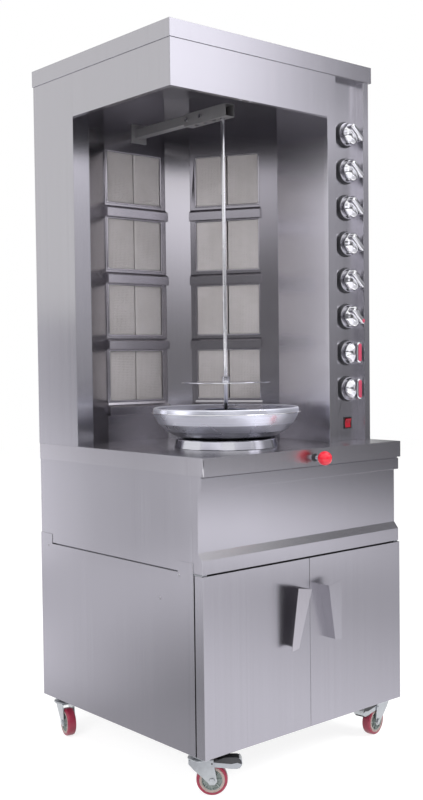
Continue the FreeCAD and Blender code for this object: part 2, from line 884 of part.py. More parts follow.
def build_unit():
    """The middle casing: a shell with its floor, and the folded apron on its front."""
    front = "-half_depth + unit_front"
    length = "depth - unit_front - sheet"
    pieces = [block("unit_floor",
                    ("-half_width + unit_inset", "-half_depth + unit_floor_front", "stand_top"),
                    ("width - 2 * unit_inset", "depth - unit_inset - unit_floor_front", "seam"))]
    for side, x, lip_x in (("left", "-skin", "-skin"), ("right", "skin - sheet", "skin - lip")):
        pieces.append(block("unit_" + side, (x, front, "unit_low"), ("sheet", length, "unit_height")))
        for level, z in (("low", "unit_low"), ("high", "unit_top - sheet")):
            pieces.append(block("unit_lip_" + side + "_" + level, (lip_x, front, z),
                                ("lip", length, "sheet")))
    pieces.append(block("unit_back", ("-skin", "half_depth - 2 * sheet", "unit_low"),
                        ("2 * skin", "sheet", "unit_height")))
    gland_hole = rod("gland_hole", ("gland_x", "half_depth - 10", "unit_low + gland_height"),
                     "gland_thread + running", 20, "y")
    node("unit_shell", cut("UnitShell", merge("UnitFolded", pieces), [gland_hole]))
    solid = crosswise("apron_solid", apron_solid, "2 * skin")
    hollow = crosswise("apron_hollow", apron_hollow, "2 * skin - 2 * sheet")
    node("front_apron", cut("FrontApron", solid, [hollow]))


def build_worktop():
    """The worktop: a folded tray upside down, with a slot for the drive and a hole for the rod."""
    plate = doc.addObject("PartDesign::Body", "worktop_plate")
    outline = draw_polygon(plate, "worktop_outline", [
        ("-half_width", "-half_depth"),
        ("half_width", "-half_depth"),
        ("half_width", "half_depth"),
        ("-half_width", "half_depth"),
    ], "XY_Plane")
    tray = padded(plate, outline, "rim_height")
    place(plate, 0, 0, "unit_top")
    doc.recompute()
    rounding = plate.newObject("PartDesign::Fillet", "worktop_corners")
    edges = []
    for index, edge in enumerate(plate.Shape.Edges, start=1):
        if abs(edge.tangentAt(edge.FirstParameter).z) > 0.9:
            edges.append("Edge" + str(index))
    rounding.Base = (tray, edges)
    rounding.setExpression("Radius", link("corner_radius"))
    hollow = block("worktop_hollow", ("-skin", "-half_depth + sheet", "unit_top + sheet"),
                   ("2 * skin", "depth - 2 * sheet", "rim_height - 2 * sheet"))
    mouth = block("worktop_mouth", ("-half_width + lip", "-half_depth + lip", "unit_top - 1"),
                  ("width - 2 * lip", "depth - 2 * lip", "rim_height / 2"))
    slot_half = "(tube_radius + slot_slack)"
    slot = block("drive_slot", ("spit_x - " + slot_half, "spit_y - slide_travel - " + slot_half,
                                "deck_under - 1"),
                 ("2 * " + slot_half, "slide_travel + 2 * " + slot_half, 5))
    pull_hole = rod("pull_hole", ("pull_x", "-half_depth - 5", "deck - pull_drop"),
                    "pull_radius + 2", 10, "y")
    node("worktop", cut("Worktop", plate, [hollow, mouth, slot, pull_hole]))


def build_guides():
    """Two C-shaped guides under the worktop that carry the drive carriage."""
    guides = []
    for side, sign in (("left", -1), ("right", 1)):
        inner = carriage_edge(sign, "slack")
        outer_low = inner + " - sheet" if sign < 0 else inner
        length = "guide_length"
        front = "-half_depth + guide_front"
        web = block("guide_web_" + side, (outer_low, front, "slide_plate_low - slack - sheet"),
                    ("sheet", length, "carriage_drop + slack + sheet"))
        shelf_x = inner if sign < 0 else inner + " - guide_flange"
        shelf = block("guide_shelf_" + side, (shelf_x, front, "slide_plate_low - slack - sheet"),
                      ("guide_flange", length, "sheet"))
        foot_x = inner + " - guide_flange" if sign < 0 else inner
        foot = block("guide_foot_" + side, (foot_x, front, "deck_under - sheet"),
                     ("guide_flange", length, "sheet"))
        guides.append(merge("guide_" + side, [web, shelf, foot]))
    node("guide_rails", gather("GuideRails", guides))


def carriage_edge(sign, clearance):
    """The side edge of the carriage plate, moved out by a clearance."""
    if sign < 0:
        return "spit_x - carriage_lead - " + clearance
    return "spit_x - carriage_lead + carriage_width + " + clearance


# Tower

def build_tower():
    """Side skins, back, canopy and cap."""
    y_back = "half_depth - sheet"
    skin = block("left_skin", ("-half_width", "column_front_y", "deck"),
                 ("sheet", "half_depth - column_front_y", "tower_height"))
    flange = upright("left_flange", wall_plans["flange_plan"], "deck", "tower_height")
    rear = block("left_rear", ("-half_width", y_back, "deck"), ("lip", "sheet", "tower_height"))
    node("tower_left_panel", merge("TowerLeftPanel", [skin, flange, rear]))
    skin = block("right_skin", ("skin - right_inset", "tower_front", "deck"),
                 ("sheet", "half_depth - tower_front", "tower_height"))
    flange = block("right_flange", ("column_right", "tower_front", "deck"),
                   ("half_width - right_inset - column_right", "sheet", "tower_height"))
    rear = block("right_rear", ("half_width - right_inset - lip", y_back, "deck"),
                 ("lip", "sheet", "tower_height"))
    node("tower_right_panel", merge("TowerRightPanel", [skin, flange, rear]))
    back = block("back_sheet", ("-skin", "half_depth - 2 * sheet", "deck"),
                 ("2 * skin - right_inset", "sheet", "tower_height"))
    inlet = rod("inlet_hole", ("knob_x", "half_depth - 10", "deck + manifold_low"),
                "manifold_radius + slack", 20, "y")
    node("tower_back_panel", cut("TowerBackPanel", back, [inlet]))
    build_canopy()
    build_cap()


def build_canopy():
    """The fascia over the open front and left side, with its lips and the ceiling."""
    left_run = "column_front_y - tower_front"
    front_run = "column_left + half_width"
    pieces = [
        block("fascia_front", ("-half_width", "tower_front", "canopy_low"),
              (front_run, "sheet", "canopy_height")),
        block("fascia_left", ("-half_width", "tower_front", "canopy_low"),
              ("sheet", left_run, "canopy_height")),
        block("fascia_lip_front", ("-half_width", "tower_front", "canopy_low"),
              (front_run, "canopy_lip", "sheet")),
        block("fascia_lip_left", ("-half_width", "tower_front", "canopy_low"),
              ("canopy_lip", left_run, "sheet")),
        upright("ceiling", ceiling_plan, "tower_top - sheet", "sheet"),
    ]
    node("canopy", merge("Canopy", pieces))


def build_cap():
    """A shallow tray, upside down, on top of everything."""
    low_x = "-half_width - cap_overhang"
    low_y = "tower_front - cap_overhang"
    wide = "width + 2 * cap_overhang"
    deep = "half_depth - tower_front + 2 * cap_overhang"
    tray = block("cap_outer", (low_x, low_y, "tower_top"), (wide, deep, "cap_height"))
    hollow = block("cap_hollow", (low_x + " + sheet", low_y + " + sheet", "tower_top + sheet"),
                   (wide + " - 2 * sheet", deep + " - 2 * sheet", "cap_height - 2 * sheet"))
    mouth = block("cap_mouth", (low_x + " + lip", low_y + " + lip", "tower_top - 1"),
                  (wide + " - 2 * lip", deep + " - 2 * lip", "cap_height / 2"))
    node("roof_cap", cut("RoofCap", tray, [hollow, mouth]))


def in_bank(piece, side):
    """Stands a piece in one bank's own frame: X along its wall, Y behind it."""
    turn = side + "_bank_angle"
    return place(piece, side + "_bank_x", side + "_bank_y", 0, turn)


def opening_start(side):
    """Where a bank's openings start along its wall."""
    if side == "left":
        return "outer_margin"
    return "bank_width - outer_margin - opening_width"


def build_banks():
    """Both burner walls, with the liner and the column between them."""
    node("corner_liner", upright("CornerLiner", wall_plans["liner_plan"], "deck", "tower_height"))
    node("centre_column", upright("CentreColumn", wall_plans["post_plan"], "deck", "tower_height"))
    boxes = []
    plates = []
    for side in ("left", "right"):
        wall = upright(side + "_wall", wall_plans[side + "_wall_plan"], "deck", "tower_height")
        trims = []
        holes = []
        start = opening_start(side)
        for row in range(size("burner_count")):
            low = "burner_floor + burner_pitch * " + str(row)
            name = side + "_burner_" + str(row + 1)
            border = block(name + "_border",
                           (start + " - frame_border", "-frame_proud", low + " - frame_border"),
                           ("opening_width + 2 * frame_border", "frame_proud",
                            "opening_height + 2 * frame_border"))
            rail = doc.addObject("PartDesign::Body", name + "_rail")
            padded(rail, draw_polygon(rail, name + "_rail_side", rail_side, "YZ_Plane"), "bank_width")
            place(rail, 0, 0, low + " - rail_drop")
            trims += [border, rail]
            holes.append(block(name + "_opening", (start, "-2 * rail_proud", low),
                               ("opening_width", "4 * rail_proud", "opening_height")))
            boxes.append(build_burner_box(name, side, start, low))
            plates += build_plates(name, side, start, low)
        trim = in_bank(gather(side + "_trim", trims), side)
        hole = in_bank(gather(side + "_openings", holes), side)
        fused = merge(side + "_folded", [wall, trim])
        node("burner_panel_" + side, cut(side.title() + "BurnerPanel", fused, [hole]))
    node("burner_boxes", gather("BurnerBoxes", boxes))
    node("ceramic_plates", gather("CeramicPlates", plates))


def build_burner_box(name, side, start, low):
    """The pressed box behind one burner: a seat for its plates and a gas chamber."""
    border_x = "(box_width - opening_width) / 2"
    border_z = "(box_height - opening_height) / 2"
    outer = block(name + "_box_outer", (start + " - " + border_x, "sheet", low + " - " + border_z),
                  ("box_width", "box_depth", "box_height"))
    seat_depth = "plate_recess + plate_thick"
    seat = block(name + "_seat", (start, "sheet - 1", low),
                 ("opening_width", seat_depth + " + 1 - sheet", "opening_height"))
    chamber = block(name + "_chamber",
                    (start + " + plenum_ledge", "sheet - 1", low + " + plenum_ledge"),
                    ("opening_width - 2 * plenum_ledge", seat_depth + " + plenum_depth",
                     "opening_height - 2 * plenum_ledge"))
    box = cut(name + "_box_cut", outer, [seat, chamber])
    return in_bank(gather(name + "_box", [box]), side)


def build_plates(name, side, start, low):
    """Two ceramic plates side by side in one burner."""
    plates = []
    width = "(opening_width - plate_gap) / 2"
    for index in range(2):
        x = start + " + " + str(index) + " * (" + width + " + plate_gap)"
        plate = block(name + "_plate_" + str(index + 1), (x, "plate_recess", low),
                      (width, "plate_thick", "opening_height"))
        plates.append(in_bank(gather(name + "_ceramic_" + str(index + 1), [plate]), side))
    return plates


def build_column():
    """The control column: a strip, then a panel set back behind it, holed for the controls."""
    walls = upright("column_walls", column_plan, "deck", "tower_height")
    top = block("column_top", ("strip_right", "tower_front + sheet", "tower_top - sheet"),
                ("column_right - strip_right", "panel_recess - sheet", "sheet"))
    panel = merge("column_panel", [walls, top])
    holes = []
    for row in range(size("knob_count")):
        holes.append(rod("spindle_hole_" + str(row + 1),
                         ("knob_x", "panel_front - 5", knob_height(row)),
                         "spindle_radius + 1", 12, "y"))
    holes.append(block("switch_hole",
                       ("switch_x - switch_width / 2 + switch_frame / 2", "panel_front - 5",
                        "deck + switch_rise + switch_frame / 2"),
                       ("switch_width - switch_frame", 12, "switch_height - switch_frame")))
    node("control_column", cut("ControlColumn", panel, holes))


def knob_height(row):
    """The height of one knob's spindle, in an expression."""
    return "deck + knob_top - knob_pitch * " + str(row)


# Gas controls

def build_controls():
    """Eight taps with their valves on one upright manifold, and a rocker switch."""
    build_column()
    bezels = []
    valves = []
    manifold_y = "panel_front + manifold_setback"
    for row in range(size("knob_count")):
        height = knob_height(row)
        name = "tap_" + str(row + 1)
        disc = turned(name + "_bezel_disc", [
            ("0", "0"),
            ("bezel_radius", "0"),
            ("bezel_radius", "bezel_depth - bezel_bevel"),
            ("bezel_radius - bezel_bevel", "bezel_depth"),
            ("0", "bezel_depth"),
        ])
        disc = lay(disc, "knob_x", "panel_front", height)
        hole = rod(name + "_bezel_hole", ("knob_x", "panel_front - 2 * bezel_depth", height),
                   "spindle_radius + 1", "3 * bezel_depth", "y")
        bezels.append(cut(name + "_bezel", disc, [hole]))
        body = rod(name + "_valve_body", ("knob_x", "panel_front + valve_front", height),
                   "valve_radius", "manifold_setback - valve_front", "y")
        saddle = rod(name + "_saddle", ("knob_x", manifold_y, height + " - 2 * valve_radius"),
                     "manifold_radius + running", "4 * valve_radius")
        bore = rod(name + "_valve_bore", ("knob_x", "panel_front", height),
                   "spindle_radius + running", "valve_front + spindle_reach + 1", "y")
        valves.append(cut(name + "_valve", body, [saddle, bore]))
        is_low = row >= size("knob_count") - size("low_grip_count")
        angle = "low_grip_angle" if is_low else "grip_angle"
        node("knob_" + str(row + 1), build_knob(name, height, angle))
    node("knob_bezels", gather("KnobBezels", bezels))
    node("gas_valves", gather("GasValves", valves))
    node("gas_pipework", build_pipework())
    node("gas_inlet", build_inlet())
    build_switch()


def build_knob(name, height, angle):
    """A domed metal knob with a bar grip across it, on its own spindle."""
    body = doc.addObject("PartDesign::Body", name + "_knob_body")
    crown = "knob_depth + knob_dome"
    spun(body, name + "_dome", [
        ("0", "0"),
        ("knob_radius", "0"),
        ("knob_radius", "knob_edge"),
        ("0.89 * knob_radius", "knob_depth - knob_round / 2"),
        ("0.64 * knob_radius", crown + " - 1.5 * knob_round"),
        ("0.37 * knob_radius", crown + " - knob_round / 4"),
        ("0", crown),
    ])
    half_long = "grip_length / 2"
    half_wide = "grip_width / 2"
    bar = draw_polygon(body, name + "_grip", [
        ("-" + half_long, "-" + half_wide),
        (half_long, "-" + half_wide),
        (half_long, half_wide),
        ("-" + half_long, half_wide),
    ], "XY_Plane")
    padded(body, bar, "knob_depth + grip_height")
    hole = draw_circle(body, name + "_hole", "spindle_radius + running", "XY_Plane")
    pocket = body.newObject("PartDesign::Pocket", name + "_bore")
    pocket.Profile = hole
    pocket.Reversed = True
    pocket.setExpression("Length", link("spindle_bore"))
    doc.recompute()
    rounding = body.newObject("PartDesign::Fillet", name + "_rounding")
    edges = []
    for index, edge in enumerate(body.Shape.Edges, start=1):
        box = edge.BoundBox
        top = size("knob_depth") + size("grip_height")
        if box.ZMin > top - 0.01 and box.ZMax < top + 0.01:
            edges.append("Edge" + str(index))
    rounding.Base = (pocket, edges)
    rounding.setExpression("Radius", link("knob_round"))
    body.setExpression("Placement.Rotation.Angle", link(angle))
    inside = "valve_front + bezel_depth + slack + spindle_reach"
    spindle = rod(name + "_spindle", (0, 0, "-(" + inside + ")"), "spindle_radius",
                  inside + " + spindle_bore")
    knob = gather(name + "_knob", [body, spindle])
    return lay(knob, "knob_x", "panel_front - bezel_depth - slack", height)


def tube_run(points, radius):
    """A bent pipe: straight runs with a round elbow at each bend."""
    solid = None
    for index in range(len(points) - 1):
        run = points[index + 1] - points[index]
        piece = Part.makeCylinder(radius, run.Length, points[index], run)
        if index > 0:
            piece = piece.fuse(Part.makeSphere(radius, points[index]))
        solid = piece if solid is None else solid.fuse(piece)
    return solid


def build_pipework():
    """The manifold with its rear inlet, and one feed pipe from each valve to its burner."""
    x = size("knob_x")
    manifold_y = size("panel_front") + size("manifold_setback")
    low = size("deck") + size("manifold_low")
    high = size("deck") + size("manifold_high")
    joint = size("half_depth") - size("inlet_joint")
    route = [Vector(x, joint, low), Vector(x, manifold_y, low), Vector(x, manifold_y, high)]
    pipes = [tube_run(route, size("manifold_radius"))]
    feed_y = size("panel_front") + size("valve_front") + size("valve_radius")
    depth = size("sheet") + size("box_depth")
    turn = math.radians(size("bank_turn"))
    for row in range(size("knob_count")):
        knob_z = size("deck") + size("knob_top") - size("knob_pitch") * row
        burner = size("burner_count") - 1 - row // 2
        burner_z = size("burner_floor") + size("burner_pitch") * burner + size("opening_height") / 2
        if row % 2 == 0:
            lane = x + size("feed_lane_left")
            lane_y = size("half_depth") - size("feed_back")
            middle = size("left_bank_x") + size("outer_margin") + size("opening_width") / 2
            ends = [Vector(middle, lane_y, burner_z)]
            ends.append(Vector(middle, size("left_bank_y") + depth, burner_z))
        else:
            lane = x + size("feed_lane_right")
            middle = size("bank_width") - size("outer_margin") - size("opening_width") / 2
            end_x = size("right_bank_x") + middle * math.cos(turn) + depth * math.sin(turn)
            end_y = size("right_bank_y") - middle * math.sin(turn) + depth * math.cos(turn)
            lane_y = end_y + (lane - end_x) / math.tan(turn)
            ends = [Vector(end_x, end_y, burner_z)]
        start_x = x + size("valve_radius")
        route = [Vector(start_x, feed_y, knob_z), Vector(lane, feed_y, knob_z)]
        route.append(Vector(lane, lane_y, knob_z))
        route.append(Vector(lane, lane_y, burner_z))
        pipes.append(tube_run(route + ends, size("feed_radius")))
    return formed("GasPipework", Part.makeCompound(pipes))


def build_inlet():
    """The pipe end that the gas supply screws on to, with its hexagon."""
    height = "deck + manifold_low"
    pipe = rod("inlet_pipe", ("knob_x", "half_depth - inlet_joint", height), "manifold_radius",
               "inlet_joint + inlet_proud", "y")
    nut = doc.addObject("Part::Prism", "inlet_nut_body")
    nut.Polygon = 6
    nut.setExpression("Circumradius", link("inlet_nut / 2 / cos(30)"))
    nut.setExpression("Height", link("inlet_nut_length"))
    nut.Placement = FreeCAD.Placement(Vector(), TURNS["y"])
    place(nut, "knob_x", "half_depth + slack", height)
    return merge("GasInlet", [pipe, nut])


def build_switch():
    """A rocker in a framed housing on the control column."""
    left = "switch_x - switch_width / 2"
    low = "deck + switch_rise"
    front = "panel_front - switch_proud"
    frame = block("switch_front", (left, front, low),
                  ("switch_width", "switch_proud", "switch_height"))
    inset = "(switch_frame / 2 + slack / 2)"
    body = block("switch_housing", (left + " + " + inset, "panel_front", low + " + " + inset),
                 ("switch_width - 2 * " + inset, "switch_body", "switch_height - 2 * " + inset))
    well = block("switch_well", (left + " + switch_frame", front + " - 1", low + " + switch_frame"),
                 ("switch_width - 2 * switch_frame", "switch_proud + switch_body - 4",
                  "switch_height - 2 * switch_frame"))
    node("switch_bezel", cut("SwitchBezel", merge("switch_case", [frame, body]), [well]))
    rocker = crosswise("Rocker", rocker_side, "switch_width - 2 * switch_frame - 2 * rocker_slack")
    place(rocker, "switch_x", "panel_front + switch_proud", low + " + switch_height / 2")
    node("rocker_switch", rocker)


# Spit and drive

def build_carriage():
    """The sliding carriage: plate with bearing tube, geared motor, ring, pull rod and ball."""
    plate = block("carriage_sheet",
                  ("spit_x - carriage_lead", "spit_y - carriage_length / 2", "slide_plate_low"),
                  ("carriage_width", "carriage_length", "carriage_thick"))
    tab = block("carriage_tab", ("pull_x - tab_width / 2", "spit_y - carriage_length / 2",
                                 "slide_plate_low"),
                ("tab_width", "tab_thick", "carriage_drop - 4"))
    tube_top = "deck + ring_height - sheet"
    tube = rod("bearing_tube", ("spit_x", "spit_y", "slide_plate_low"), "tube_radius",
               tube_top + " - slide_plate_low")
    bore = rod("bearing_bore", ("spit_x", "spit_y", "slide_plate_low - 5"),
               "shaft_radius + running", tube_top + " - slide_plate_low + 10")
    node("carriage_plate", cut("CarriagePlate", merge("carriage_body", [plate, tab, tube]), [bore]))
    gearbox = block("gearbox", ("spit_x - gearbox_width / 2", "spit_y - gearbox_width / 2",
                                "slide_plate_low - gearbox_height"),
                    ("gearbox_width", "gearbox_width", "gearbox_height"))
    motor = rod("motor_can", ("spit_x", "spit_y", "slide_plate_low - gearbox_height - motor_height"),
                "motor_radius", "motor_height")
    node("gear_motor", merge("GearMotor", [gearbox, motor]))
    node("base_ring", turned("BaseRing", ring_profile, "spit_x", "spit_y", "deck"))
    front = "-half_depth - ball_out"
    node("pull_rod", rod("PullRod", ("pull_x", front, "deck - pull_drop"), "pull_radius",
                         "half_depth + ball_out + spit_y - carriage_length / 2", "y"))
    ball = doc.addObject("Part::Sphere", "Ball")
    ball.setExpression("Radius", link("ball_radius"))
    place(ball, "pull_x", front, "deck - pull_drop")
    socket = rod("ball_socket", ("pull_x", front, "deck - pull_drop"), "pull_radius",
                 "ball_radius + 2", "y")
    node("ball_knob", cut("BallKnob", ball, [socket]))
    flange = rod("grommet_flange", ("pull_x", "-half_depth - 2", "deck - pull_drop"),
                 "grommet_radius", 2, "y")
    sleeve = rod("grommet_sleeve", ("pull_x", "-half_depth - 1", "deck - pull_drop"),
                 "pull_radius + 2 - running", "sheet + 2", "y")
    through = rod("grommet_bore", ("pull_x", "-half_depth - 5", "deck - pull_drop"),
                  "pull_radius + running", 20, "y")
    node("rod_grommet", cut("RodGrommet", merge("grommet_body", [flange, sleeve]), [through]))


def build_spit():
    """The drive shaft, the spit that stands in it, the disc on the spit and the pan."""
    shaft = rod("shaft_bar", ("spit_x", "spit_y", "slide_plate_low + slack"), "shaft_radius",
                "deck + coupling_low - slide_plate_low - slack")
    socket = rod("shaft_socket", ("spit_x", "spit_y", "spit_bottom - 2"),
                 "spit_radius + running", "coupling_low")
    slot_half = "(cross_pin + slack)"
    notch = block("shaft_notch",
                  ("spit_x - 2 * shaft_radius", "spit_y - " + slot_half,
                   "deck + coupling_low - cross_pin_drop - cross_pin - slack"),
                  ("4 * shaft_radius", "2 * " + slot_half, 30))
    node("drive_shaft", cut("DriveShaft", shaft, [socket, notch]))
    bar = rod("spit_bar", ("spit_x", "spit_y", "spit_bottom"), "spit_radius", "spit_top - spit_foot")
    sleeve = rod("spit_sleeve", ("spit_x", "spit_y", "deck + coupling_low + slack"),
                 "coupling_radius", "coupling_height")
    pin = rod("spit_pin", ("spit_x - shaft_radius + 1", "spit_y",
                           "deck + coupling_low - cross_pin_drop"),
              "cross_pin", "2 * shaft_radius - 2", "x")
    node("spit_rod", merge("SpitRod", [bar, sleeve, pin]))
    bore = "spit_radius + running"
    node("meat_disc", turned("MeatDisc", [
        (bore, "0"),
        ("disc_radius", "0"),
        ("disc_radius", "disc_thick"),
        ("disc_collar_radius", "disc_thick"),
        ("disc_collar_radius", "disc_collar_height"),
        (bore, "disc_collar_height"),
    ], "spit_x", "spit_y", "deck + disc_low"))
    bowl = turned("pan_bowl", pan_profile, "spit_x", "spit_y", "deck")
    bead = turned("pan_bead", [
        ("pan_rim_radius - 1", "pan_flange_height - 1"),
        ("pan_flange_radius", "pan_flange_height - 1"),
        ("pan_flange_radius", "pan_flange_height + 1"),
        ("pan_rim_radius - 1", "pan_flange_height + 1"),
    ], "spit_x", "spit_y", "deck")
    node("drip_pan", merge("DripPan", [bowl, bead]))


def build_bearing():
    """The upper bracket: a bar from the burner wall and a channel that slides along it."""
    bar_side = "(channel_width - 2 * sheet - 2 * slack)"
    bar_high = "deck + channel_low + channel_height - sheet - slack"
    bar = block("bracket_bar", ("spit_x - " + bar_side + " / 2", "-half_depth + rail_front",
                                bar_high + " - rail_bar"),
                (bar_side, "left_bank_y + half_depth - rail_front", "rail_bar"))
    foot = block("bracket_foot", ("spit_x - rail_foot / 2", "left_bank_y - 3",
                                  bar_high + " - rail_bar / 2 - rail_foot / 2"),
                 ("rail_foot", 3, "rail_foot"))
    node("bracket_rail", merge("BracketRail", [bar, foot]))
    left = "spit_x - channel_width / 2"
    front = "-half_depth + channel_front"
    low = "deck + channel_low"
    outer = block("channel_outer", (left, front, low),
                  ("channel_width", "channel_length", "channel_height"))
    tools = [block("channel_inner", (left + " + sheet", front + " - 1", low + " + sheet"),
                   ("channel_width - 2 * sheet", "channel_length + 2",
                    "channel_height - 2 * sheet"))]
    for index in range(size("channel_hole_count")):
        y = "spit_y + channel_hole_pitch * " + str(index)
        tools.append(rod("channel_hole_" + str(index + 1), ("spit_x", y, low + " - 1"),
                         "channel_hole", "sheet + 2"))
    clamps = []
    middle = low + " + channel_height / 2"
    for index in range(2):
        y = front + " + clamp_first + clamp_pitch * " + str(index)
        name = "clamp_" + str(index + 1)
        tools.append(rod(name + "_hole", (left + " - 1", y, middle), "clamp_shank", "sheet + 2", "x"))
        head = rod(name + "_head", (left + " - clamp_head", y, middle), "clamp_radius",
                   "clamp_head", "x")
        shank = rod(name + "_shank", (left + " - 1", y, middle), "clamp_shank", "sheet + 1", "x")
        clamps.append(merge(name, [head, shank]))
    channel = cut("channel_tube", outer, tools)
    node("bracket_channel", gather("BracketChannel", [channel] + clamps))


def build_gland():
    """The screwed gland that the mains lead would enter by."""
    height = "unit_low + gland_height"
    nut = rod("gland_nut", ("gland_x", "half_depth - sheet", height), "gland_radius",
              "gland_length", "y")
    thread = rod("gland_thread_body", ("gland_x", "half_depth - 10", height), "gland_thread",
                 12, "y")
    bore = rod("gland_way", ("gland_x", "half_depth - gland_length", height), "gland_bore",
               "3 * gland_length", "y")
    node("cable_gland", cut("CableGland", merge("gland_body", [nut, thread]), [bore]))


def finish():
    """Recomputes, checks every object and writes each sub-part."""
    doc.recompute()
    for item in doc.Objects:
        if "Invalid" in item.State or "Error" in item.State:
            raise RuntimeError(item.Name + " failed: " + str(item.State))
    for piece in subparts:
        if piece.Shape.isNull() or not piece.Shape.isValid():
            raise RuntimeError(piece.Label + " has no valid shape")
    os.makedirs("parts", exist_ok=True)
    for piece in subparts:
        piece.Shape.exportStep("parts/" + piece.Label + ".step")
    print(len(subparts), "sub-parts written")


build_stand()
build_doors()
build_casters()
build_unit()
build_worktop()
build_guides()
build_tower()
build_banks()
build_controls()
build_carriage()
build_spit()
build_bearing()
build_gland()
finish()
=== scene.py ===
import math

import bpy
from mathutils import Matrix, Vector


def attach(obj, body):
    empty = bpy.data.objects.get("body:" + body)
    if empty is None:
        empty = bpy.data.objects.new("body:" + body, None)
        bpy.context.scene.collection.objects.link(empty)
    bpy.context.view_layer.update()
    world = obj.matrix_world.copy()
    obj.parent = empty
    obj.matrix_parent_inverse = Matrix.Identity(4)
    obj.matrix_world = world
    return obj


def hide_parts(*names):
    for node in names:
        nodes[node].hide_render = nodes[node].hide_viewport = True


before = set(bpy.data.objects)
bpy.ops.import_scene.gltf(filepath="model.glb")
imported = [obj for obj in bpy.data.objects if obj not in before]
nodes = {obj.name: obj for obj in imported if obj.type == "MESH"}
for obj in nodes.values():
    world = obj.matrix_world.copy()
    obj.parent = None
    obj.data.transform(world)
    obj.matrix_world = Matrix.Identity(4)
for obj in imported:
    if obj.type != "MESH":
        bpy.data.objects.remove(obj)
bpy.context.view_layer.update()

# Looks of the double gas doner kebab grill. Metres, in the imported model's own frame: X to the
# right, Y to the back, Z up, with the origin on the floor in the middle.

scene = bpy.context.scene

CASING = "casing"

# Places and sizes that the source has too
SPIT = Vector((-0.085, -0.131, 0.8))
BALL = Vector((0.015, -0.385, 0.778))
KNOBS = 8
KNOB_X = 0.274
KNOB_TOP = 1.6298
KNOB_PITCH = 0.09833
PANEL_FRONT = -0.224
BEZEL = 0.0133
BACK = 0.3485
OPENING = (0.184, 0.137)
BURNERS = 4
BURNER_LOW = 0.915
BURNER_PITCH = 0.1833

# Each burner wall's own frame, and how far along it the openings start
BANKS = {
    "left": (Matrix.Translation((-0.203, 0.227, 0)), 0.008),
    "right": (Matrix.Translation((0.062, 0.180, 0)) @ Matrix.Rotation(math.radians(-59.04), 4, "Z"),
              0.018),
}

# Each caster's place, and its turn in degrees at rest
CASTERS = {
    "front_left": (-0.32, -0.29, -40.7),
    "front_right": (0.32, -0.29, 189.0),
    "back_left": (-0.32, 0.29, -105.2),
    "back_right": (0.32, 0.29, -120.0),
}
TRAIL = 0.028
WHEEL = 0.0375


# Materials

# The part of a vector that points up
UPWARD = 2

# Most values of a noise lie between these two
NOISE_LOW = 0.35
NOISE_HIGH = 0.65

# The sockets of a mix node's two inputs and of its output
MIX_SOCKETS = {"VECTOR": (4, 5, 1), "RGBA": (6, 7, 2)}


class Tree:
    """Short calls for one material's nodes."""

    def __init__(self, name):
        self.material = bpy.data.materials.new(name)
        self.material.use_nodes = True
        tree = self.material.node_tree
        self.nodes = tree.nodes
        self.links = tree.links
        self.shader = tree.nodes["Principled BSDF"]

    def add(self, kind, inputs=(), **settings):
        """A node with its settings, and each input either linked or given a value."""
        node = self.nodes.new("ShaderNode" + kind)
        for key, value in settings.items():
            setattr(node, key, value)
        for slot, value in dict(inputs).items():
            self.give(node, slot, value)
        return node

    def give(self, node, slot, value):
        if isinstance(value, bpy.types.NodeSocket):
            self.links.new(value, node.inputs[slot])
        else:
            node.inputs[slot].default_value = value

    def finish(self, **values):
        """Sets or links sockets of the main shader, with _ for a space."""
        for slot, value in values.items():
            self.give(self.shader, slot.replace("_", " "), value)
        return self.material

    def math(self, operation, *values):
        return self.add("Math", enumerate(values), operation=operation).outputs[0]

    def vector(self, operation, *values):
        return self.add("VectorMath", enumerate(values), operation=operation).outputs[0]

    def dim(self, colour, factor):
        """A colour times a plain value."""
        return self.add("VectorMath", {0: colour, "Scale": factor}, operation="SCALE").outputs[0]

    def part(self, vector, axis):
        """One part of a vector."""
        return self.add("SeparateXYZ", {0: vector}).outputs[axis]

    def between(self, value, low, high, start=NOISE_LOW, end=NOISE_HIGH):
        """Spreads a noise or another value over a range."""
        node = self.add("MapRange", {"Value": value, "From Min": start, "From Max": end,
                                     "To Min": low, "To Max": high})
        return node.outputs[0]

    def shade(self, value, dark, light):
        """Spreads a noise value between two colours."""
        ramp = self.add("ValToRGB", {"Fac": value})
        stops = ramp.color_ramp.elements
        for end, (position, colour) in enumerate(((NOISE_LOW, dark), (NOISE_HIGH, light))):
            stops[end].position = position
            stops[end].color = (*colour, 1)
        return ramp.outputs[0]

    def blend(self, first, second, share=0.5):
        """A share of one value and the rest of another."""
        return self.math("ADD", self.math("MULTIPLY", first, share),
                         self.math("MULTIPLY", second, 1 - share))

    def mix(self, kind, factor, first, second):
        """A step from one vector or colour to another."""
        near, far, result = MIX_SOCKETS[kind]
        inputs = {0: factor, near: first, far: second}
        return self.add("Mix", inputs, data_type=kind).outputs[result]

    def noise(self, vector, scale, detail=3.0):
        inputs = {"Vector": vector, "Scale": scale, "Detail": detail}
        return self.add("TexNoise", inputs).outputs[0]

    def bump(self, height, strength, distance, normal=None):
        inputs = {"Height": height, "Strength": strength, "Distance": distance}
        if normal is not None:
            inputs["Normal"] = normal
        return self.add("Bump", inputs).outputs[0]


def scaled(colour, factor):
    return tuple(channel * factor for channel in colour)


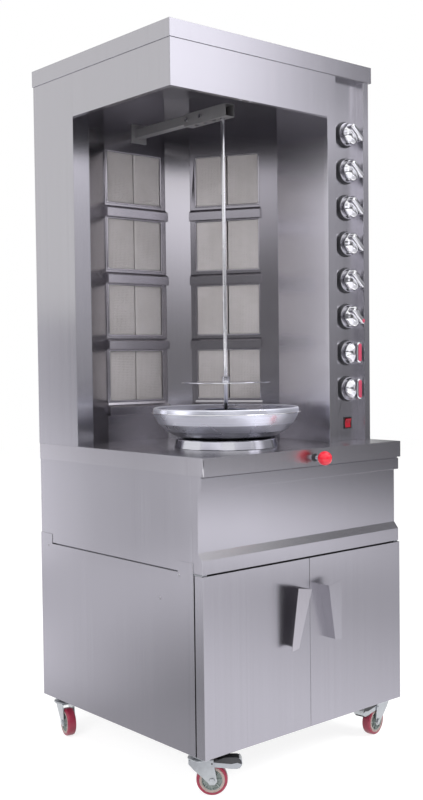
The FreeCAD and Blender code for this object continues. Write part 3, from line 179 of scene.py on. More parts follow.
def brushed(name, colour, roughness, anisotropy=0.6, streak=0.022, underside_shade=1.0, left_face_highlight=1.0):
    """Brushed sheet steel. The grain runs up walls and across flat tops. A sheet may get painted
    shade on its faces that turn downward, darker underneath. It may also get a painted highlight,
    lighter on the faces that turn left."""
    tree = Tree(name)
    place = tree.add("TexCoord")
    normal = place.outputs["Normal"]
    nearly_level = 0.7
    upward = tree.math("ABSOLUTE", tree.part(normal, UPWARD))
    is_top = tree.math("GREATER_THAN", upward, nearly_level)
    along = 0.0015
    grain = tree.mix("VECTOR", is_top, (1, 1, along), (along, 1, 1))
    stretched = tree.vector("MULTIPLY", place.outputs["Object"], grain)
    fine = tree.noise(stretched, 900, 2)
    bands = tree.noise(stretched, 210, 2)
    cloud = tree.noise(place.outputs["Object"], 5, 2)
    mixed = tree.blend(fine, bands)
    wear = tree.blend(mixed, cloud, 0.6)
    spread = 0.012
    almost_upright = (0.02, 0, 1)
    surface = tree.add("NewGeometry").outputs["Normal"]
    tangent = tree.vector("CROSS_PRODUCT", surface, almost_upright)
    sheet = tree.shade(mixed, scaled(colour, 1 - streak), scaled(colour, 1 + streak))
    # Painted shade: faces that turn downward get darker.
    if underside_shade < 1:
        facing_down = (-0.9, -0.4)
        sheet = tree.dim(sheet, tree.between(tree.part(normal, UPWARD), underside_shade, 1.0, *facing_down))
    # Painted highlight: faces that turn left get lighter.
    if left_face_highlight > 1:
        facing_left = (-0.9, -0.6)
        sheet = tree.dim(sheet, tree.between(tree.part(normal, 0), left_face_highlight, 1.0, *facing_left))
    return tree.finish(
        Base_Color=sheet,
        Metallic=1.0,
        Roughness=tree.between(wear, roughness - spread, roughness + spread),
        Anisotropic=anisotropy,
        Tangent=tree.vector("NORMALIZE", tangent),
        Normal=tree.bump(fine, 0.03, 0.0001),
    )


def turned_metal(name, colour, roughness, ring=0.03, ring_scale=420, metallic=1.0, under=1.0):
    """Polished or spun metal, with faint rings about the piece's own upright axis. Its faces that
    turn downward may get painted shade, darker than the rest."""
    tree = Tree(name)
    coordinates = tree.add("TexCoord")
    place = coordinates.outputs["Object"]
    split = tree.add("SeparateXYZ", {0: place})
    flat = tree.add("CombineXYZ", {0: split.outputs[0], 1: split.outputs[1]}).outputs[0]
    radius = tree.add("VectorMath", {0: flat}, operation="LENGTH").outputs["Value"]
    rings_at = tree.add("CombineXYZ", {0: radius, 1: split.outputs[2]}).outputs[0]
    rings = tree.noise(rings_at, ring_scale, 3)
    cloud = tree.noise(place, 9, 2)
    metal = tree.shade(rings, scaled(colour, 1 - ring), scaled(colour, 1 + ring))
    # Painted shade: faces that turn downward get darker.
    if under < 1:
        facing_down = (-0.92, -0.5)
        upward = tree.part(coordinates.outputs["Normal"], UPWARD)
        metal = tree.dim(metal, tree.between(upward, under, 1.0, *facing_down))
    return tree.finish(
        Base_Color=metal,
        Metallic=metallic,
        Roughness=tree.between(cloud, roughness * 0.8, roughness * 1.2),
        Normal=tree.bump(rings, 0.12, 0.0001),
    )


def mottled(name, colour, roughness, metallic=0.0, scale=260, contrast=0.06, depth=0.00006, **more):
    """Moulded, painted or plated stuff: a fine skin over a slow change of tone."""
    tree = Tree(name)
    place = tree.add("TexCoord").outputs["Object"]
    skin = tree.noise(place, scale, 4)
    cloud = tree.noise(place, 14, 2)
    mixed = tree.blend(skin, cloud)
    return tree.finish(
        Base_Color=tree.shade(mixed, scaled(colour, 1 - contrast), scaled(colour, 1 + contrast)),
        Metallic=metallic,
        Roughness=tree.between(mixed, roughness * 0.85, roughness * 1.15),
        Normal=tree.bump(skin, 0.5, depth),
        **more,
    )


def pierced_ceramic(name):
    """Warm grey ceramic with rows of fine holes, darker where it has been scorched."""
    tree = Tree(name)
    place = tree.add("TexCoord").outputs["Object"]
    split = tree.add("SeparateXYZ", {0: place})
    pitch = 0.0025
    hole_edge = 0.45
    hole_strength = 0.55
    waves = []
    for axis in (0, UPWARD):
        turn = tree.math("MULTIPLY", split.outputs[axis], 2 * math.pi / pitch)
        waves.append(tree.math("SINE", turn))
    holes = tree.math("GREATER_THAN", tree.math("MULTIPLY", *waves), hole_edge)
    skin = tree.noise(place, 500, 4)
    scorch = tree.noise(place, 11, 3)
    clay = tree.shade(scorch, (0.44, 0.415, 0.42), (0.50, 0.475, 0.485))
    in_hole = tree.math("MULTIPLY", holes, hole_strength)
    pits = tree.bump(holes, 0.4, -0.0003)
    return tree.finish(
        Base_Color=tree.mix("RGBA", in_hole, clay, (0.10, 0.085, 0.08, 1)),
        Roughness=tree.between(skin, 0.75, 0.95),
        Normal=tree.bump(skin, 0.4, 0.0001, pits),
    )


steel = brushed("steel_upright", (0.465, 0.457, 0.485), 0.25, 0.65)
# The canopy gets painted shade on its faces that turn downward.
steel_canopy = brushed("steel_canopy", (0.465, 0.457, 0.485), 0.25, 0.65, underside_shade=0.7)
# The control column gets a painted highlight on its faces that turn left.
steel_column = brushed("steel_column", (0.465, 0.457, 0.485), 0.25, 0.65, left_face_highlight=1.95)
steel_dim = brushed("steel_inner", (0.40, 0.392, 0.41), 0.32, 0.5)
# Painted light: a lighter copy of the casing steel for the inner walls, the left handle and the
# burners' lips.
steel_lit_copy = brushed("steel_lit_copy", (0.53, 0.515, 0.54), 0.20, 0.5, streak=0.02)
steel_burner = brushed("steel_burner", (0.43, 0.415, 0.44), 0.24, 0.5)
steel_flat = brushed("steel_flat", (0.50, 0.49, 0.515), 0.25, 0.6)
steel_bracket = mottled("steel_bracket", (0.24, 0.235, 0.245), 0.42, 0.45, 90, 0.05, 0.00003)
zinc = mottled("zinc_plate", (0.47, 0.49, 0.51), 0.36, 1.0, 120, 0.10, 0.00004)
chrome = turned_metal("chrome", (0.90, 0.90, 0.92), 0.07, 0.01)
polished = turned_metal("polished_steel", (0.62, 0.62, 0.67), 0.14, 0.03)
# The pan's bowl gets painted shade on its faces that turn downward.
satin = turned_metal("satin_bowl", (0.82, 0.83, 0.92), 0.30, 0.04, 300, 0.86, under=0.35)
spun = turned_metal("spun_steel", (0.42, 0.43, 0.53), 0.30, 0.06, 520)
ground = turned_metal("ground_rod", (0.80, 0.80, 0.82), 0.26, 0.02)
ceramic = pierced_ceramic("pierced_ceramic")
brass = mottled("gas_brass", (0.72, 0.55, 0.28), 0.30, 1.0, 180, 0.08)
aluminised = mottled("aluminised_sheet", (0.44, 0.44, 0.45), 0.42, 1.0, 60, 0.12)
motor_paint = mottled("motor_paint", (0.16, 0.17, 0.19), 0.45)
black = mottled("black_plastic", (0.020, 0.020, 0.022), 0.42)
bezel_black = mottled("bezel_black", (0.035, 0.035, 0.040), 0.30)
red = mottled("red_plastic", (0.64, 0.010, 0.028), 0.16, scale=90, depth=0.00002, Coat_Weight=0.6,
              Coat_Roughness=0.06)
red_mark = mottled("red_mark", (0.40, 0.045, 0.09), 0.35)
red_rocker = mottled("red_rocker", (0.36, 0.008, 0.022), 0.25, scale=90, depth=0.00002)
pedal_plastic = mottled("pedal_plastic", (0.035, 0.036, 0.040), 0.5)
tyre_red = mottled("tyre_red", (0.27, 0.016, 0.045), 0.33, scale=140, Coat_Weight=0.2,
                   Coat_Roughness=0.3)
hub_grey = mottled("hub_grey", (0.22, 0.25, 0.24), 0.45)
hub_cream = mottled("hub_cream", (0.34, 0.26, 0.24), 0.45)


def dress(material, *names):
    """Gives CAD nodes a finish."""
    for name in names:
        for entry in nodes[name].material_slots:
            entry.material = material


def soften(width, *names):
    """Rounds the edges of folded or cut pieces, as a press or a saw leaves them."""
    same_place = 0.00001
    least_angle = 40
    for name in names:
        piece = nodes[name]
        weld = piece.modifiers.new("weld", "WELD")
        weld.merge_threshold = same_place
        bevel = piece.modifiers.new("edges", "BEVEL")
        bevel.width = width
        bevel.segments = 2
        bevel.limit_method = "ANGLE"
        bevel.angle_limit = math.radians(least_angle)
        bevel.harden_normals = True


dress(steel, "stand_shell", "left_door", "right_door", "right_handle", "front_apron", "unit_shell",
      "tower_left_panel", "tower_right_panel", "tower_back_panel", "roof_cap")
dress(steel_column, "control_column")
dress(steel_canopy, "canopy")
dress(steel_dim, "stand_floor", "guide_rails", "carriage_plate")
# Painted light: the lighter copy of the steel, on the left handle but not on its twin on the right.
dress(steel_lit_copy, "corner_liner", "centre_column", "left_handle")
dress(steel_burner, "burner_panel_left", "burner_panel_right")
dress(steel_bracket, "bracket_rail", "bracket_channel")
dress(steel_flat, "worktop")
dress(aluminised, "burner_boxes")
dress(ceramic, "ceramic_plates")
dress(brass, "gas_pipework", "gas_valves", "gas_inlet")
dress(motor_paint, "gear_motor")
dress(polished, "drive_shaft", "pull_rod")
dress(black, "rod_grommet", "switch_bezel", "cable_gland")
dress(red_rocker, "rocker_switch")
dress(zinc, "door_hinges", *("caster_fork_" + name for name in CASTERS))
dress(pedal_plastic, "caster_pedal_front_left", "caster_pedal_front_right")

soften(0.0007, "stand_shell", "left_door", "right_door", "front_apron", "unit_shell", "worktop",
       "tower_left_panel", "tower_right_panel", "canopy", "roof_cap", "control_column",
       "corner_liner", "centre_column")
soften(0.0005, "left_handle", "right_handle", "stand_floor", "bracket_channel", "bracket_rail",
       "burner_panel_left", "burner_panel_right", "switch_bezel", "rocker_switch")
soften(0.0006, "caster_pedal_front_left", "caster_pedal_front_right",
       *("caster_fork_" + name for name in CASTERS))


# Meshes

# A radius below this is on the axis
ON_AXIS = 1e-6


def rounded(points, radius, steps=4, closed=True):
    """The same outline with its corners rounded. A corner takes less than half of a side."""
    most_of_side = 0.45
    result = []
    count = len(points)
    for index, point in enumerate(points):
        corner = Vector(point)
        if not closed and index in (0, count - 1):
            result.append(corner)
            continue
        before = Vector(points[index - 1]) - corner
        after = Vector(points[(index + 1) % count]) - corner
        reach = radius / math.tan(before.angle(after) / 2)
        reach = min(reach, most_of_side * before.length, most_of_side * after.length)
        start = corner + before.normalized() * reach
        end = corner + after.normalized() * reach
        for step in range(steps + 1):
            share = step / steps
            result.append(start.lerp(corner, share).lerp(corner.lerp(end, share), share))
    return result


class Shape:
    """One mesh gathered from simple forms."""

    def __init__(self):
        self.corners = []
        self.faces = []
        self.finishes = []

    def add(self, corners, faces, matrix=Matrix(), finish=0):
        first = len(self.corners)
        self.corners += [matrix @ Vector(corner) for corner in corners]
        self.faces += [[first + index for index in face] for face in faces]
        self.finishes += [finish] * len(faces)

    def spin(self, profile, matrix=Matrix(), steps=96, closed=True, finish=0):
        """A round form from radius and height pairs. An end on the axis is one corner."""
        rings = []
        corners = []
        for radius, height in profile:
            rings.append(len(corners))
            if radius < ON_AXIS:
                corners.append((0, 0, height))
                continue
            for step in range(steps):
                turn = 2 * math.pi * step / steps
                corners.append((radius * math.cos(turn), radius * math.sin(turn), height))
        faces = []
        count = len(profile)
        for index in range(count if closed else count - 1):
            other = (index + 1) % count
            low, high = rings[index], rings[other]
            for step in range(steps):
                after = (step + 1) % steps
                if profile[index][0] < ON_AXIS:
                    faces.append((low, high + after, high + step))
                elif profile[other][0] < ON_AXIS:
                    faces.append((low + step, low + after, high))
                else:
                    faces.append((low + step, low + after, high + after, high + step))
        self.add(corners, faces, matrix, finish)

    def loft(self, outlines, matrix=Matrix(), finish=0, looped=False):
        """A form through several outlines with the same number of corners."""
        count = len(outlines[0])
        corners = [corner for outline in outlines for corner in outline]
        faces = []
        last = len(outlines) if looped else len(outlines) - 1
        for level in range(last):
            low, high = level * count, (level + 1) % len(outlines) * count
            for index in range(count):
                after = (index + 1) % count
                faces.append((low + index, low + after, high + after, high + index))
        if not looped:
            faces.append(tuple(reversed(range(count))))
            faces.append(tuple(range(len(corners) - count, len(corners))))
        self.add(corners, faces, matrix, finish)

    def block(self, low, high, radius, matrix=Matrix(), finish=0):
        """A box with rounded edges, standing on its base."""
        (x0, y0, z0), (x1, y1, z1) = low, high
        halfway = radius * 0.3
        outlines = []
        for inset, z in ((radius, z0), (halfway, z0 + halfway), (0, z0 + radius),
                         (0, z1 - radius), (halfway, z1 - halfway), (radius, z1)):
            box = [(x0 + inset, y0 + inset), (x1 - inset, y0 + inset),
                   (x1 - inset, y1 - inset), (x0 + inset, y1 - inset)]
            outlines.append([(*point, z) for point in rounded(box, radius, 2)])
        self.loft(outlines, matrix, finish)

    def piece(self, name, body, slot, *materials, centre=(0, 0, 0), sharp=32):
        """The finished object, with its own centre, riding on a body."""
        middle = Vector(centre)
        mesh = bpy.data.meshes.new(name)
        mesh.from_pydata([corner - middle for corner in self.corners], [], self.faces)
        for material in materials:
            mesh.materials.append(material)
        mesh.polygons.foreach_set("material_index", self.finishes)
        mesh.validate()
        mesh.shade_smooth()
        mesh.set_sharp_from_angle(angle=math.radians(sharp))
        made = bpy.data.objects.new(name, mesh)
        made.location = middle
        scene.collection.objects.link(made)
        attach(made, body)
        return made


def facing(axis):
    """A turn that points a form's own Z along an axis."""
    return Vector(axis).to_track_quat("Z", "Y").to_matrix().to_4x4()


def at(point, axis=(0, 0, 1)):
    return Matrix.Translation(point) @ facing(axis)


def circle(radius, steps):
    """Points round a circle."""
    turns = [2 * math.pi * step / steps for step in range(steps)]
    return [(radius * math.cos(turn), radius * math.sin(turn)) for turn in turns]


def add_nut(shape, matrix, radius, height):
    """A hexagon nut with chamfered corners."""
    outlines = []
    for share, z in ((0.90, 0), (1.0, 0.18), (1.0, 0.82), (0.90, 1.0)):
        outlines.append([(x * share, y * share, z * height) for x, y in circle(radius, 6)])
    shape.loft(outlines, matrix)


def add_screw(shape, matrix, radius=0.004):
    """A button head with a hexagon socket."""
    height = radius * 0.55
    steps = 20
    rim, mouth, socket = radius * 0.62, radius * 0.42, radius * 0.40
    shape.spin([(radius, 0), (radius * 0.98, height * 0.35), (radius * 0.85, height * 0.75),
                (rim, height)], matrix, steps, False)
    corners = [(x, y, height) for x, y in circle(rim, steps)]
    for reach, z in ((mouth, height), (socket, height * 0.3)):
        for x, y in circle(reach, steps):
            turn = math.atan2(y, x) % (math.pi / 3)
            share = math.cos(math.pi / 6) / math.cos(turn - math.pi / 6)
            corners.append((x * share, y * share, z))
    faces = []
    for ring in (0, 1):
        for step in range(steps):
            after = (step + 1) % steps
            faces.append((ring * steps + step, ring * steps + after,
                          (ring + 1) * steps + after, (ring + 1) * steps + step))
    faces.append(tuple(range(2 * steps, 3 * steps)))
    shape.add(corners, faces, matrix)


# Burners

PLATE_FRONT = 0.002
PLATE_BACK = 0.014
SQUARE_RISE = 0.0009


def build_plates():
    """Sixteen ceramic plates, each a field of small raised squares between grooves."""
    width = 0.09
    gap = 0.004
    edge = 0.0012
    for side, (bank, start) in BANKS.items():
        shape = Shape()
        for row in range(BURNERS):
            low = BURNER_LOW + BURNER_PITCH * row
            for column in range(2):
                left = start + column * (width + gap)
                shape.block((left, PLATE_FRONT + SQUARE_RISE, low),
                            (left + width, PLATE_BACK, low + OPENING[1]), edge, bank)
                add_squares(shape, bank, left, low, width)
        shape.piece("ceramic_" + side, CASING, "ceramic", ceramic)


def add_squares(shape, bank, left, low, width):
    """The raised squares of one plate."""
    pitch = 0.0045
    groove = 0.0011
    draft = 0.0003
    border = 0.004
    top = PLATE_FRONT
    base = PLATE_FRONT + SQUARE_RISE + 0.0002
    columns = int((width - border) / pitch)
    rows = int((OPENING[1] - border) / pitch)
    x_first = left + (width - columns * pitch) / 2
    z_first = low + (OPENING[1] - rows * pitch) / 2
    corners = []
    faces = []
    for column in range(columns):
        for row in range(rows):
            x0 = x_first + column * pitch + groove / 2
            z0 = z_first + row * pitch + groove / 2
            x1 = x0 + pitch - groove
            z1 = z0 + pitch - groove
            first = len(corners)
            corners += [(x0, base, z0), (x1, base, z0), (x1, base, z1), (x0, base, z1)]
            corners += [(x0 + draft, top, z0 + draft), (x1 - draft, top, z0 + draft),
                        (x1 - draft, top, z1 - draft), (x0 + draft, top, z1 - draft)]
            faces.append((first + 4, first + 5, first + 6, first + 7))
            for index in range(4):
                after = (index + 1) % 4
                faces.append((first + index, first + after, first + 4 + after, first + 4 + index))
    shape.add(corners, faces, bank)


def build_lips():
    """A rolled lip round each burner's opening, and a sill under the lowest, in the lighter copy of
    the steel, which paints light on them.
    """
    corner = 0.004
    for side, (bank, start) in BANKS.items():
        shape = Shape()
        for row in range(BURNERS):
            low = BURNER_LOW + BURNER_PITCH * row
            outlines = []
            for reach, out in ((0.0002, 0.0020), (0.0002, -0.0016), (0.0009, -0.0024),
                               (0.0022, -0.0027), (0.0034, -0.0024), (0.0042, -0.0016),
                               (0.0043, 0.0)):
                box = [(start - reach, low - reach), (start + OPENING[0] + reach, low - reach),
                       (start + OPENING[0] + reach, low + OPENING[1] + reach),
                       (start - reach, low + OPENING[1] + reach)]
                ring = rounded(box, corner + reach, 4)
                outlines.append([(x, out, z) for x, z in ring])
            turned = [list(ring) for ring in zip(*outlines)]
            shape.loft(turned, bank, looped=True)
        add_sill(shape, bank, start)
        shape.piece("burner_lips_" + side, CASING, "casing_steel", steel_lit_copy)


def add_sill(shape, bank, start):
    """A sloping sill, a little wider than the burner over it."""
    past_end = 0.008
    section = rounded([(0.0005, -0.0060), (-0.0015, -0.0060), (-0.0080, -0.0410),
                       (-0.0075, -0.0425), (0.0005, -0.0425)], 0.0006, 2)
    shape.loft([[(x, out, BURNER_LOW + z) for out, z in section]
                for x in (start - past_end, start + OPENING[0] + past_end)], bank)


build_plates()
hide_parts("ceramic_plates")
build_lips()


# Controls

# The dome's rings: radius, height and depth of flute
DOME = ((0.0300, -0.0033, 0.0), (0.0317, -0.0030, 0.0), (0.0320, -0.0020, 0.002),
        (0.0320, 0.0020, 0.006), (0.0317, 0.0060, 0.010), (0.0309, 0.0100, 0.015),
        (0.0296, 0.0138, 0.019), (0.0277, 0.0173, 0.021), (0.0252, 0.0204, 0.020),
        (0.0220, 0.0230, 0.015), (0.0181, 0.0251, 0.008), (0.0135, 0.0266, 0.003),
        (0.0080, 0.0276, 0.0), (0.0020, 0.0280, 0.0))

# The grip's outlines: height, half length and half width
GRIP = ((0.0120, 0.0275, 0.0100), (0.0240, 0.0280, 0.0094), (0.0310, 0.0280, 0.0088),
        (0.0342, 0.0276, 0.0082), (0.0360, 0.0266, 0.0070), (0.0369, 0.0248, 0.0050))
GRIP_TURNS = (-40, -40, -40, -40, -40, -40, 90, 90)

# The red marks: half length, half width and place along the grip
MARKS = {5: (0.0050, 0.0050, 0.0200), 6: (0.0240, 0.0060, 0.0), 7: (0.0240, 0.0060, 0.0)}


def build_knobs():
    """Chrome knobs: a fluted dome with a bar grip across it, red where it has a mark."""
    stem = 0.004
    stem_end = -0.030
    for row in range(KNOBS):
        name = str(row + 1)
        height = KNOB_TOP - KNOB_PITCH * row
        face = Matrix.Translation((KNOB_X, PANEL_FRONT - BEZEL, height)) @ Matrix.Rotation(
            math.radians(90), 4, "X")
        grip = face @ Matrix.Rotation(math.radians(GRIP_TURNS[row]), 4, "Z")
        shape = Shape()
        shape.loft([fluted(radius, z, flute) for radius, z, flute in DOME], grip)
        shape.loft([grip_outline(long, wide, z) for z, long, wide in GRIP], grip)
        shape.spin([(stem, stem_end), (stem, 0.0)], face, 24, False)
        knob = shape.piece("knob_form_" + name, "tap_" + name, "polished_steel", chrome,
                           centre=(KNOB_X, PANEL_FRONT, height), sharp=40)
        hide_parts("knob_" + name)
        if row in MARKS:
            mark = Shape()
            long, wide, along = MARKS[row]
            outlines = []
            for z, share in ((0.0350, 1.0), (0.0372, 1.0), (0.0376, 0.86)):
                reach, half = long * share, wide * share
                box = [(along - reach, -half), (along + reach, -half),
                       (along + reach, half), (along - reach, half)]
                outlines.append([(x, y, z) for x, y in rounded(box, wide * 0.9, 4)])
            mark.loft(outlines, grip)
            mark.piece("knob_mark_" + name, "tap_" + name, "red_plastic", red_mark)


def fluted(radius, z, depth):
    """A ring with shallow flutes in it."""
    flutes = 9
    steps = 192
    ring = []
    for step in range(steps):
        turn = 2 * math.pi * step / steps
        reach = radius * (1 - depth * (1 - math.cos(turn * flutes)))
        ring.append((reach * math.cos(turn), reach * math.sin(turn), z))
    return ring


def grip_outline(long, wide, z):
    """A long rounded bar, a little narrower at its waist."""
    points = []
    steps = 40
    end_squareness, side_squareness = 0.45, 0.55
    waist_depth = 0.16
    for step in range(steps):
        turn = 2 * math.pi * step / steps
        across, along = math.sin(turn), math.cos(turn)
        x = long * math.copysign(abs(along) ** end_squareness, along)
        y = wide * math.copysign(abs(across) ** side_squareness, across)
        waist = 1 - waist_depth * (1 - (x / long) ** 2)
        points.append((x, y * waist, z))
    return points


def build_collars():
    """Black moulded collars with a rounded brow and a seat for each knob."""
    shape = Shape()
    profile = [(0.0351, 0.0002), (0.0351, 0.0018), (0.0343, 0.0030), (0.0338, 0.0076),
               (0.0330, 0.0093), (0.0315, 0.0098), (0.0052, 0.0098), (0.0052, 0.0002)]
    for row in range(KNOBS):
        place = at((KNOB_X, PANEL_FRONT, KNOB_TOP - KNOB_PITCH * row), (0, -1, 0))
        shape.spin(rounded(profile, 0.0008, 3), place, 72)
    collars = shape.piece("knob_collars", CASING, "black_plastic", bezel_black)
    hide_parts("knob_bezels")


build_knobs()
build_collars()


# Spit, disc, pan, ring and ball

def build_pan():
    """The drip pan: a polished bowl, a bright rounded band, a bead under it and a satin dish."""
    foot = 0.0238
    bowl = [(0.066, foot), (0.105, foot), (0.1324, 0.0304), (0.1565, 0.0437), (0.1747, 0.0622),
            (0.1855, 0.0834), (0.188, 0.0892), (0.188, 0.1005), (0.1855, 0.1030),
            (0.1825, 0.1030), (0.1790, 0.1003)]
    shape = Shape()
    matrix = Matrix.Translation(SPIT)
    shape.spin(rounded(bowl, 0.004, 5, False), matrix, 144, False, 0)
    dish = [(0.1790, 0.1003), (0.150, 0.0965), (0.100, 0.0905), (0.074, 0.0874),
            (0.0655, 0.0905), (0.0615, 0.0952), (0.0585, 0.0975), (0.0578, 0.0955),
            (0.0592, 0.0900), (0.0640, 0.0850)]
    shape.spin(rounded(dish, 0.003, 4, False), matrix, 144, False, 1)
    inner = [(0.0640, 0.0850), (0.120, 0.0885), (0.1790, 0.0960), (0.1845, 0.0960),
             (0.1845, 0.0850), (0.1700, 0.0600), (0.1300, 0.0325), (0.1045, 0.0255),
             (0.066, 0.0255), (0.066, foot)]
    shape.spin(rounded(inner, 0.003, 3, False), matrix, 96, False, 0)
    bead = [(0.1865, 0.0888), (0.1932, 0.0890), (0.1940, 0.0900), (0.1932, 0.0910),
            (0.1865, 0.0912)]
    shape.spin(bead, matrix, 144, True, 2)
    pan = shape.piece("pan_form", "pan", "polished_steel", satin, spun, chrome, centre=SPIT)
    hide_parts("drip_pan")


def build_ring():
    """The bright ring that the pan stands on."""
    profile = [(0.1350, 0.0004), (0.1343, 0.0030), (0.1300, 0.0205), (0.1288, 0.0232),
               (0.1265, 0.0235), (0.0125, 0.0235), (0.0125, 0.0222), (0.1255, 0.0220),
               (0.1280, 0.0200), (0.1330, 0.0004)]
    shape = Shape()
    shape.spin(rounded(profile, 0.0012, 4), Matrix.Translation(SPIT), 128)
    ring = shape.piece("ring_form", "carriage", "polished_steel", polished, centre=SPIT)
    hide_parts("base_ring")


def build_disc():
    """The meat disc: a thin mirror with a rolled edge, and a collar with a set screw."""
    centre = SPIT + Vector((0, 0, 0.165))
    profile = [(0.0052, 0.0), (0.1125, 0.0), (0.1140, 0.0003), (0.1142, 0.0012), (0.1138, 0.0021),
               (0.1120, 0.0024), (0.1090, 0.0018), (0.0105, 0.0018), (0.0100, 0.0030),
               (0.0100, 0.0152), (0.0092, 0.0160), (0.0060, 0.0160), (0.0052, 0.0150)]
    shape = Shape()
    shape.spin(profile, Matrix.Translation(centre), 144)
    add_screw(shape, at(centre + Vector((-0.0074, -0.0062, 0.0095)), (-0.77, -0.64, 0)), 0.0028)
    disc = shape.piece("disc_form", "disc", "polished_steel", polished, centre=centre)
    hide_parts("meat_disc")


def build_spit():
    """The spit rod with a squared foot sleeve and its cross pin."""
    bar = [(0.0, 0.850), (0.0042, 0.850), (0.0050, 0.8515), (0.0050, 1.6488), (0.0044, 1.650),
           (0.0, 1.650)]
    shape = Shape()
    matrix = Matrix.Translation((SPIT.x, SPIT.y, 0))
    shape.spin(bar, matrix, 40, False)
    sleeve = [(0.0050, 0.8683), (0.0066, 0.8683), (0.0070, 0.8690), (0.0070, 0.8912),
              (0.0064, 0.8922), (0.0050, 0.8922)]
    shape.spin(sleeve, matrix, 40, False)
    pin = [(0.0, -0.009), (0.0017, -0.009), (0.0020, -0.0086), (0.0020, 0.0086), (0.0017, 0.009),
           (0.0, 0.009)]
    shape.spin(pin, at((SPIT.x, SPIT.y, 0.865), (1, 0, 0)), 24, False)
    rod = shape.piece("spit_form", "spit", "polished_steel", ground,
                      centre=(SPIT.x, SPIT.y, 0))
    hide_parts("spit_rod")


def build_ball():
    """The red ball with a flat where it screws on to the rod."""
    radius = 0.018
    profile = [(0.0, radius)]
    steps = 40
    flat_steps = 5
    for step in range(1, steps - flat_steps):
        turn = math.pi * step / steps
        profile.append((radius * math.sin(turn), radius * math.cos(turn)))
    profile += [(0.0075, -0.0163), (0.0051, -0.0163), (0.0051, 0.0), (0.0, 0.0)]
    shape = Shape()
    shape.spin(profile, at(BALL, (0, -1, 0)), 64, False)
    ball = shape.piece("ball_form", "carriage", "red_plastic", red, centre=BALL)
    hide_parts("ball_knob")


build_pan()
build_ring()
build_disc()
build_spit()
build_ball()


# Casters

def build_casters():
    """The wheels, what is on the forks, and the front ones' pedals."""
    for name, (x, y, turn) in CASTERS.items():
        fork = Matrix.Translation((x, y, 0)) @ Matrix.Rotation(math.radians(turn), 4, "Z")
        build_wheel(name, fork)
        build_hardware(name, fork)
        if name.startswith("front"):
            build_pedal(name, fork)


def build_wheel(name, fork):
    """A red tyre with a crown, on a grey hub with ribs and two cream rims."""
    axle = fork @ Matrix.Translation((TRAIL, 0, WHEEL)) @ Matrix.Rotation(
        math.radians(90), 4, "X")
    shape = Shape()
    tyre = [(0.0300, -0.0120), (0.0335, -0.0120), (0.0362, -0.0104), (0.0373, -0.0068),
            (0.0375, 0.0), (0.0373, 0.0068), (0.0362, 0.0104), (0.0335, 0.0120),
            (0.0300, 0.0120)]
    shape.spin(rounded(tyre, 0.0015, 3), axle, 72)
    hub = [(0.00405, -0.0142), (0.0105, -0.0142), (0.0110, -0.0136), (0.0116, -0.0072),
           (0.0222, -0.0066), (0.0238, -0.0112), (0.0248, -0.0117), (0.0248, 0.0117),
           (0.0238, 0.0112), (0.0222, 0.0066), (0.0116, 0.0072), (0.0110, 0.0136),
           (0.0105, 0.0142), (0.00405, 0.0142)]
    shape.spin(hub, axle, 72, finish=1)
    for side in (-1, 1):
        rim = [(0.0248, side * 0.0020), (0.0248, side * 0.0119), (0.0262, side * 0.0124),
               (0.0288, side * 0.0124), (0.0300, side * 0.0120), (0.0300, side * 0.0020)]
        shape.spin(rim, axle, 72, finish=2)
    ribs = 8
    for rib in range(ribs):
        spoke = axle @ Matrix.Rotation(math.radians(360 / ribs * rib), 4, "Z")
        shape.block((0.0105, -0.0013, -0.0104), (0.0236, 0.0013, 0.0104), 0.0005, spoke, 1)
    wheel = shape.piece("wheel_form_" + name, "wheel_" + name, "wheel_red", tyre_red, hub_grey,
                        hub_cream, centre=fork @ Vector((TRAIL, 0, WHEEL)))
    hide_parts("caster_wheel_" + name)


def build_hardware(name, fork):
    """The axle's nuts, the ball race's ring and a washer under the stem's nut."""
    shape = Shape()
    fork_side = 0.0170
    nut = (0.0072, 0.0034)
    for side in (-1, 1):
        add_nut(shape, fork @ at((TRAIL, side * fork_side, WHEEL), (0, side, 0)), *nut)
    race = [(0.0240, 0.0868), (0.0293, 0.0868), (0.0296, 0.0885), (0.0284, 0.0902),
            (0.0240, 0.0902)]
    shape.spin(rounded(race, 0.0006, 3), fork, 64)
    washer = [(0.0085, 0.1018), (0.0118, 0.1018), (0.0118, 0.1030), (0.0085, 0.1030)]
    shape.spin(washer, fork, 40)
    shape.piece("caster_hardware_" + name, "swivel_" + name, "zinc", zinc)


def build_pedal(name, fork):
    """Ridges on a pedal's top, cheeks on its sides and a pressed strap round its nose."""
    ridges = Shape()
    first, pitch = 0.030, 0.0062
    for step in range(6):
        along = first + pitch * step
        slope = fork @ Matrix.Translation((TRAIL + along, 0, pedal_top(along))) @ (
            Matrix.Rotation(math.atan(PEDAL_SLOPE), 4, "Y"))
        ridges.block((-0.0014, -0.0115, -0.0012), (0.0014, 0.0115, 0.0010), 0.0005, slope)
    ridges.piece("pedal_ridges_" + name, "pedal_" + name, "pedal_plastic", pedal_plastic)
    cheeks = Shape()
    strap = Shape()
    for side in (-1, 1):
        add_cheek(cheeks, fork, side, UPPER_CHEEK, 0.0)
        add_cheek(strap, fork, side, LOWER_CHEEK, 0.0004)
    add_strap(strap, fork)
    cheeks.piece("pedal_cheeks_" + name, "pedal_" + name, "pedal_plastic", pedal_plastic)
    strap.piece("pedal_strap_" + name, "pedal_" + name, "zinc", zinc)


def pedal_top(along):
    """The height of the pedal's top at a distance past the axle."""
    heel, heel_height = 0.012, 0.0815
    return heel_height - (along - heel) * PEDAL_SLOPE


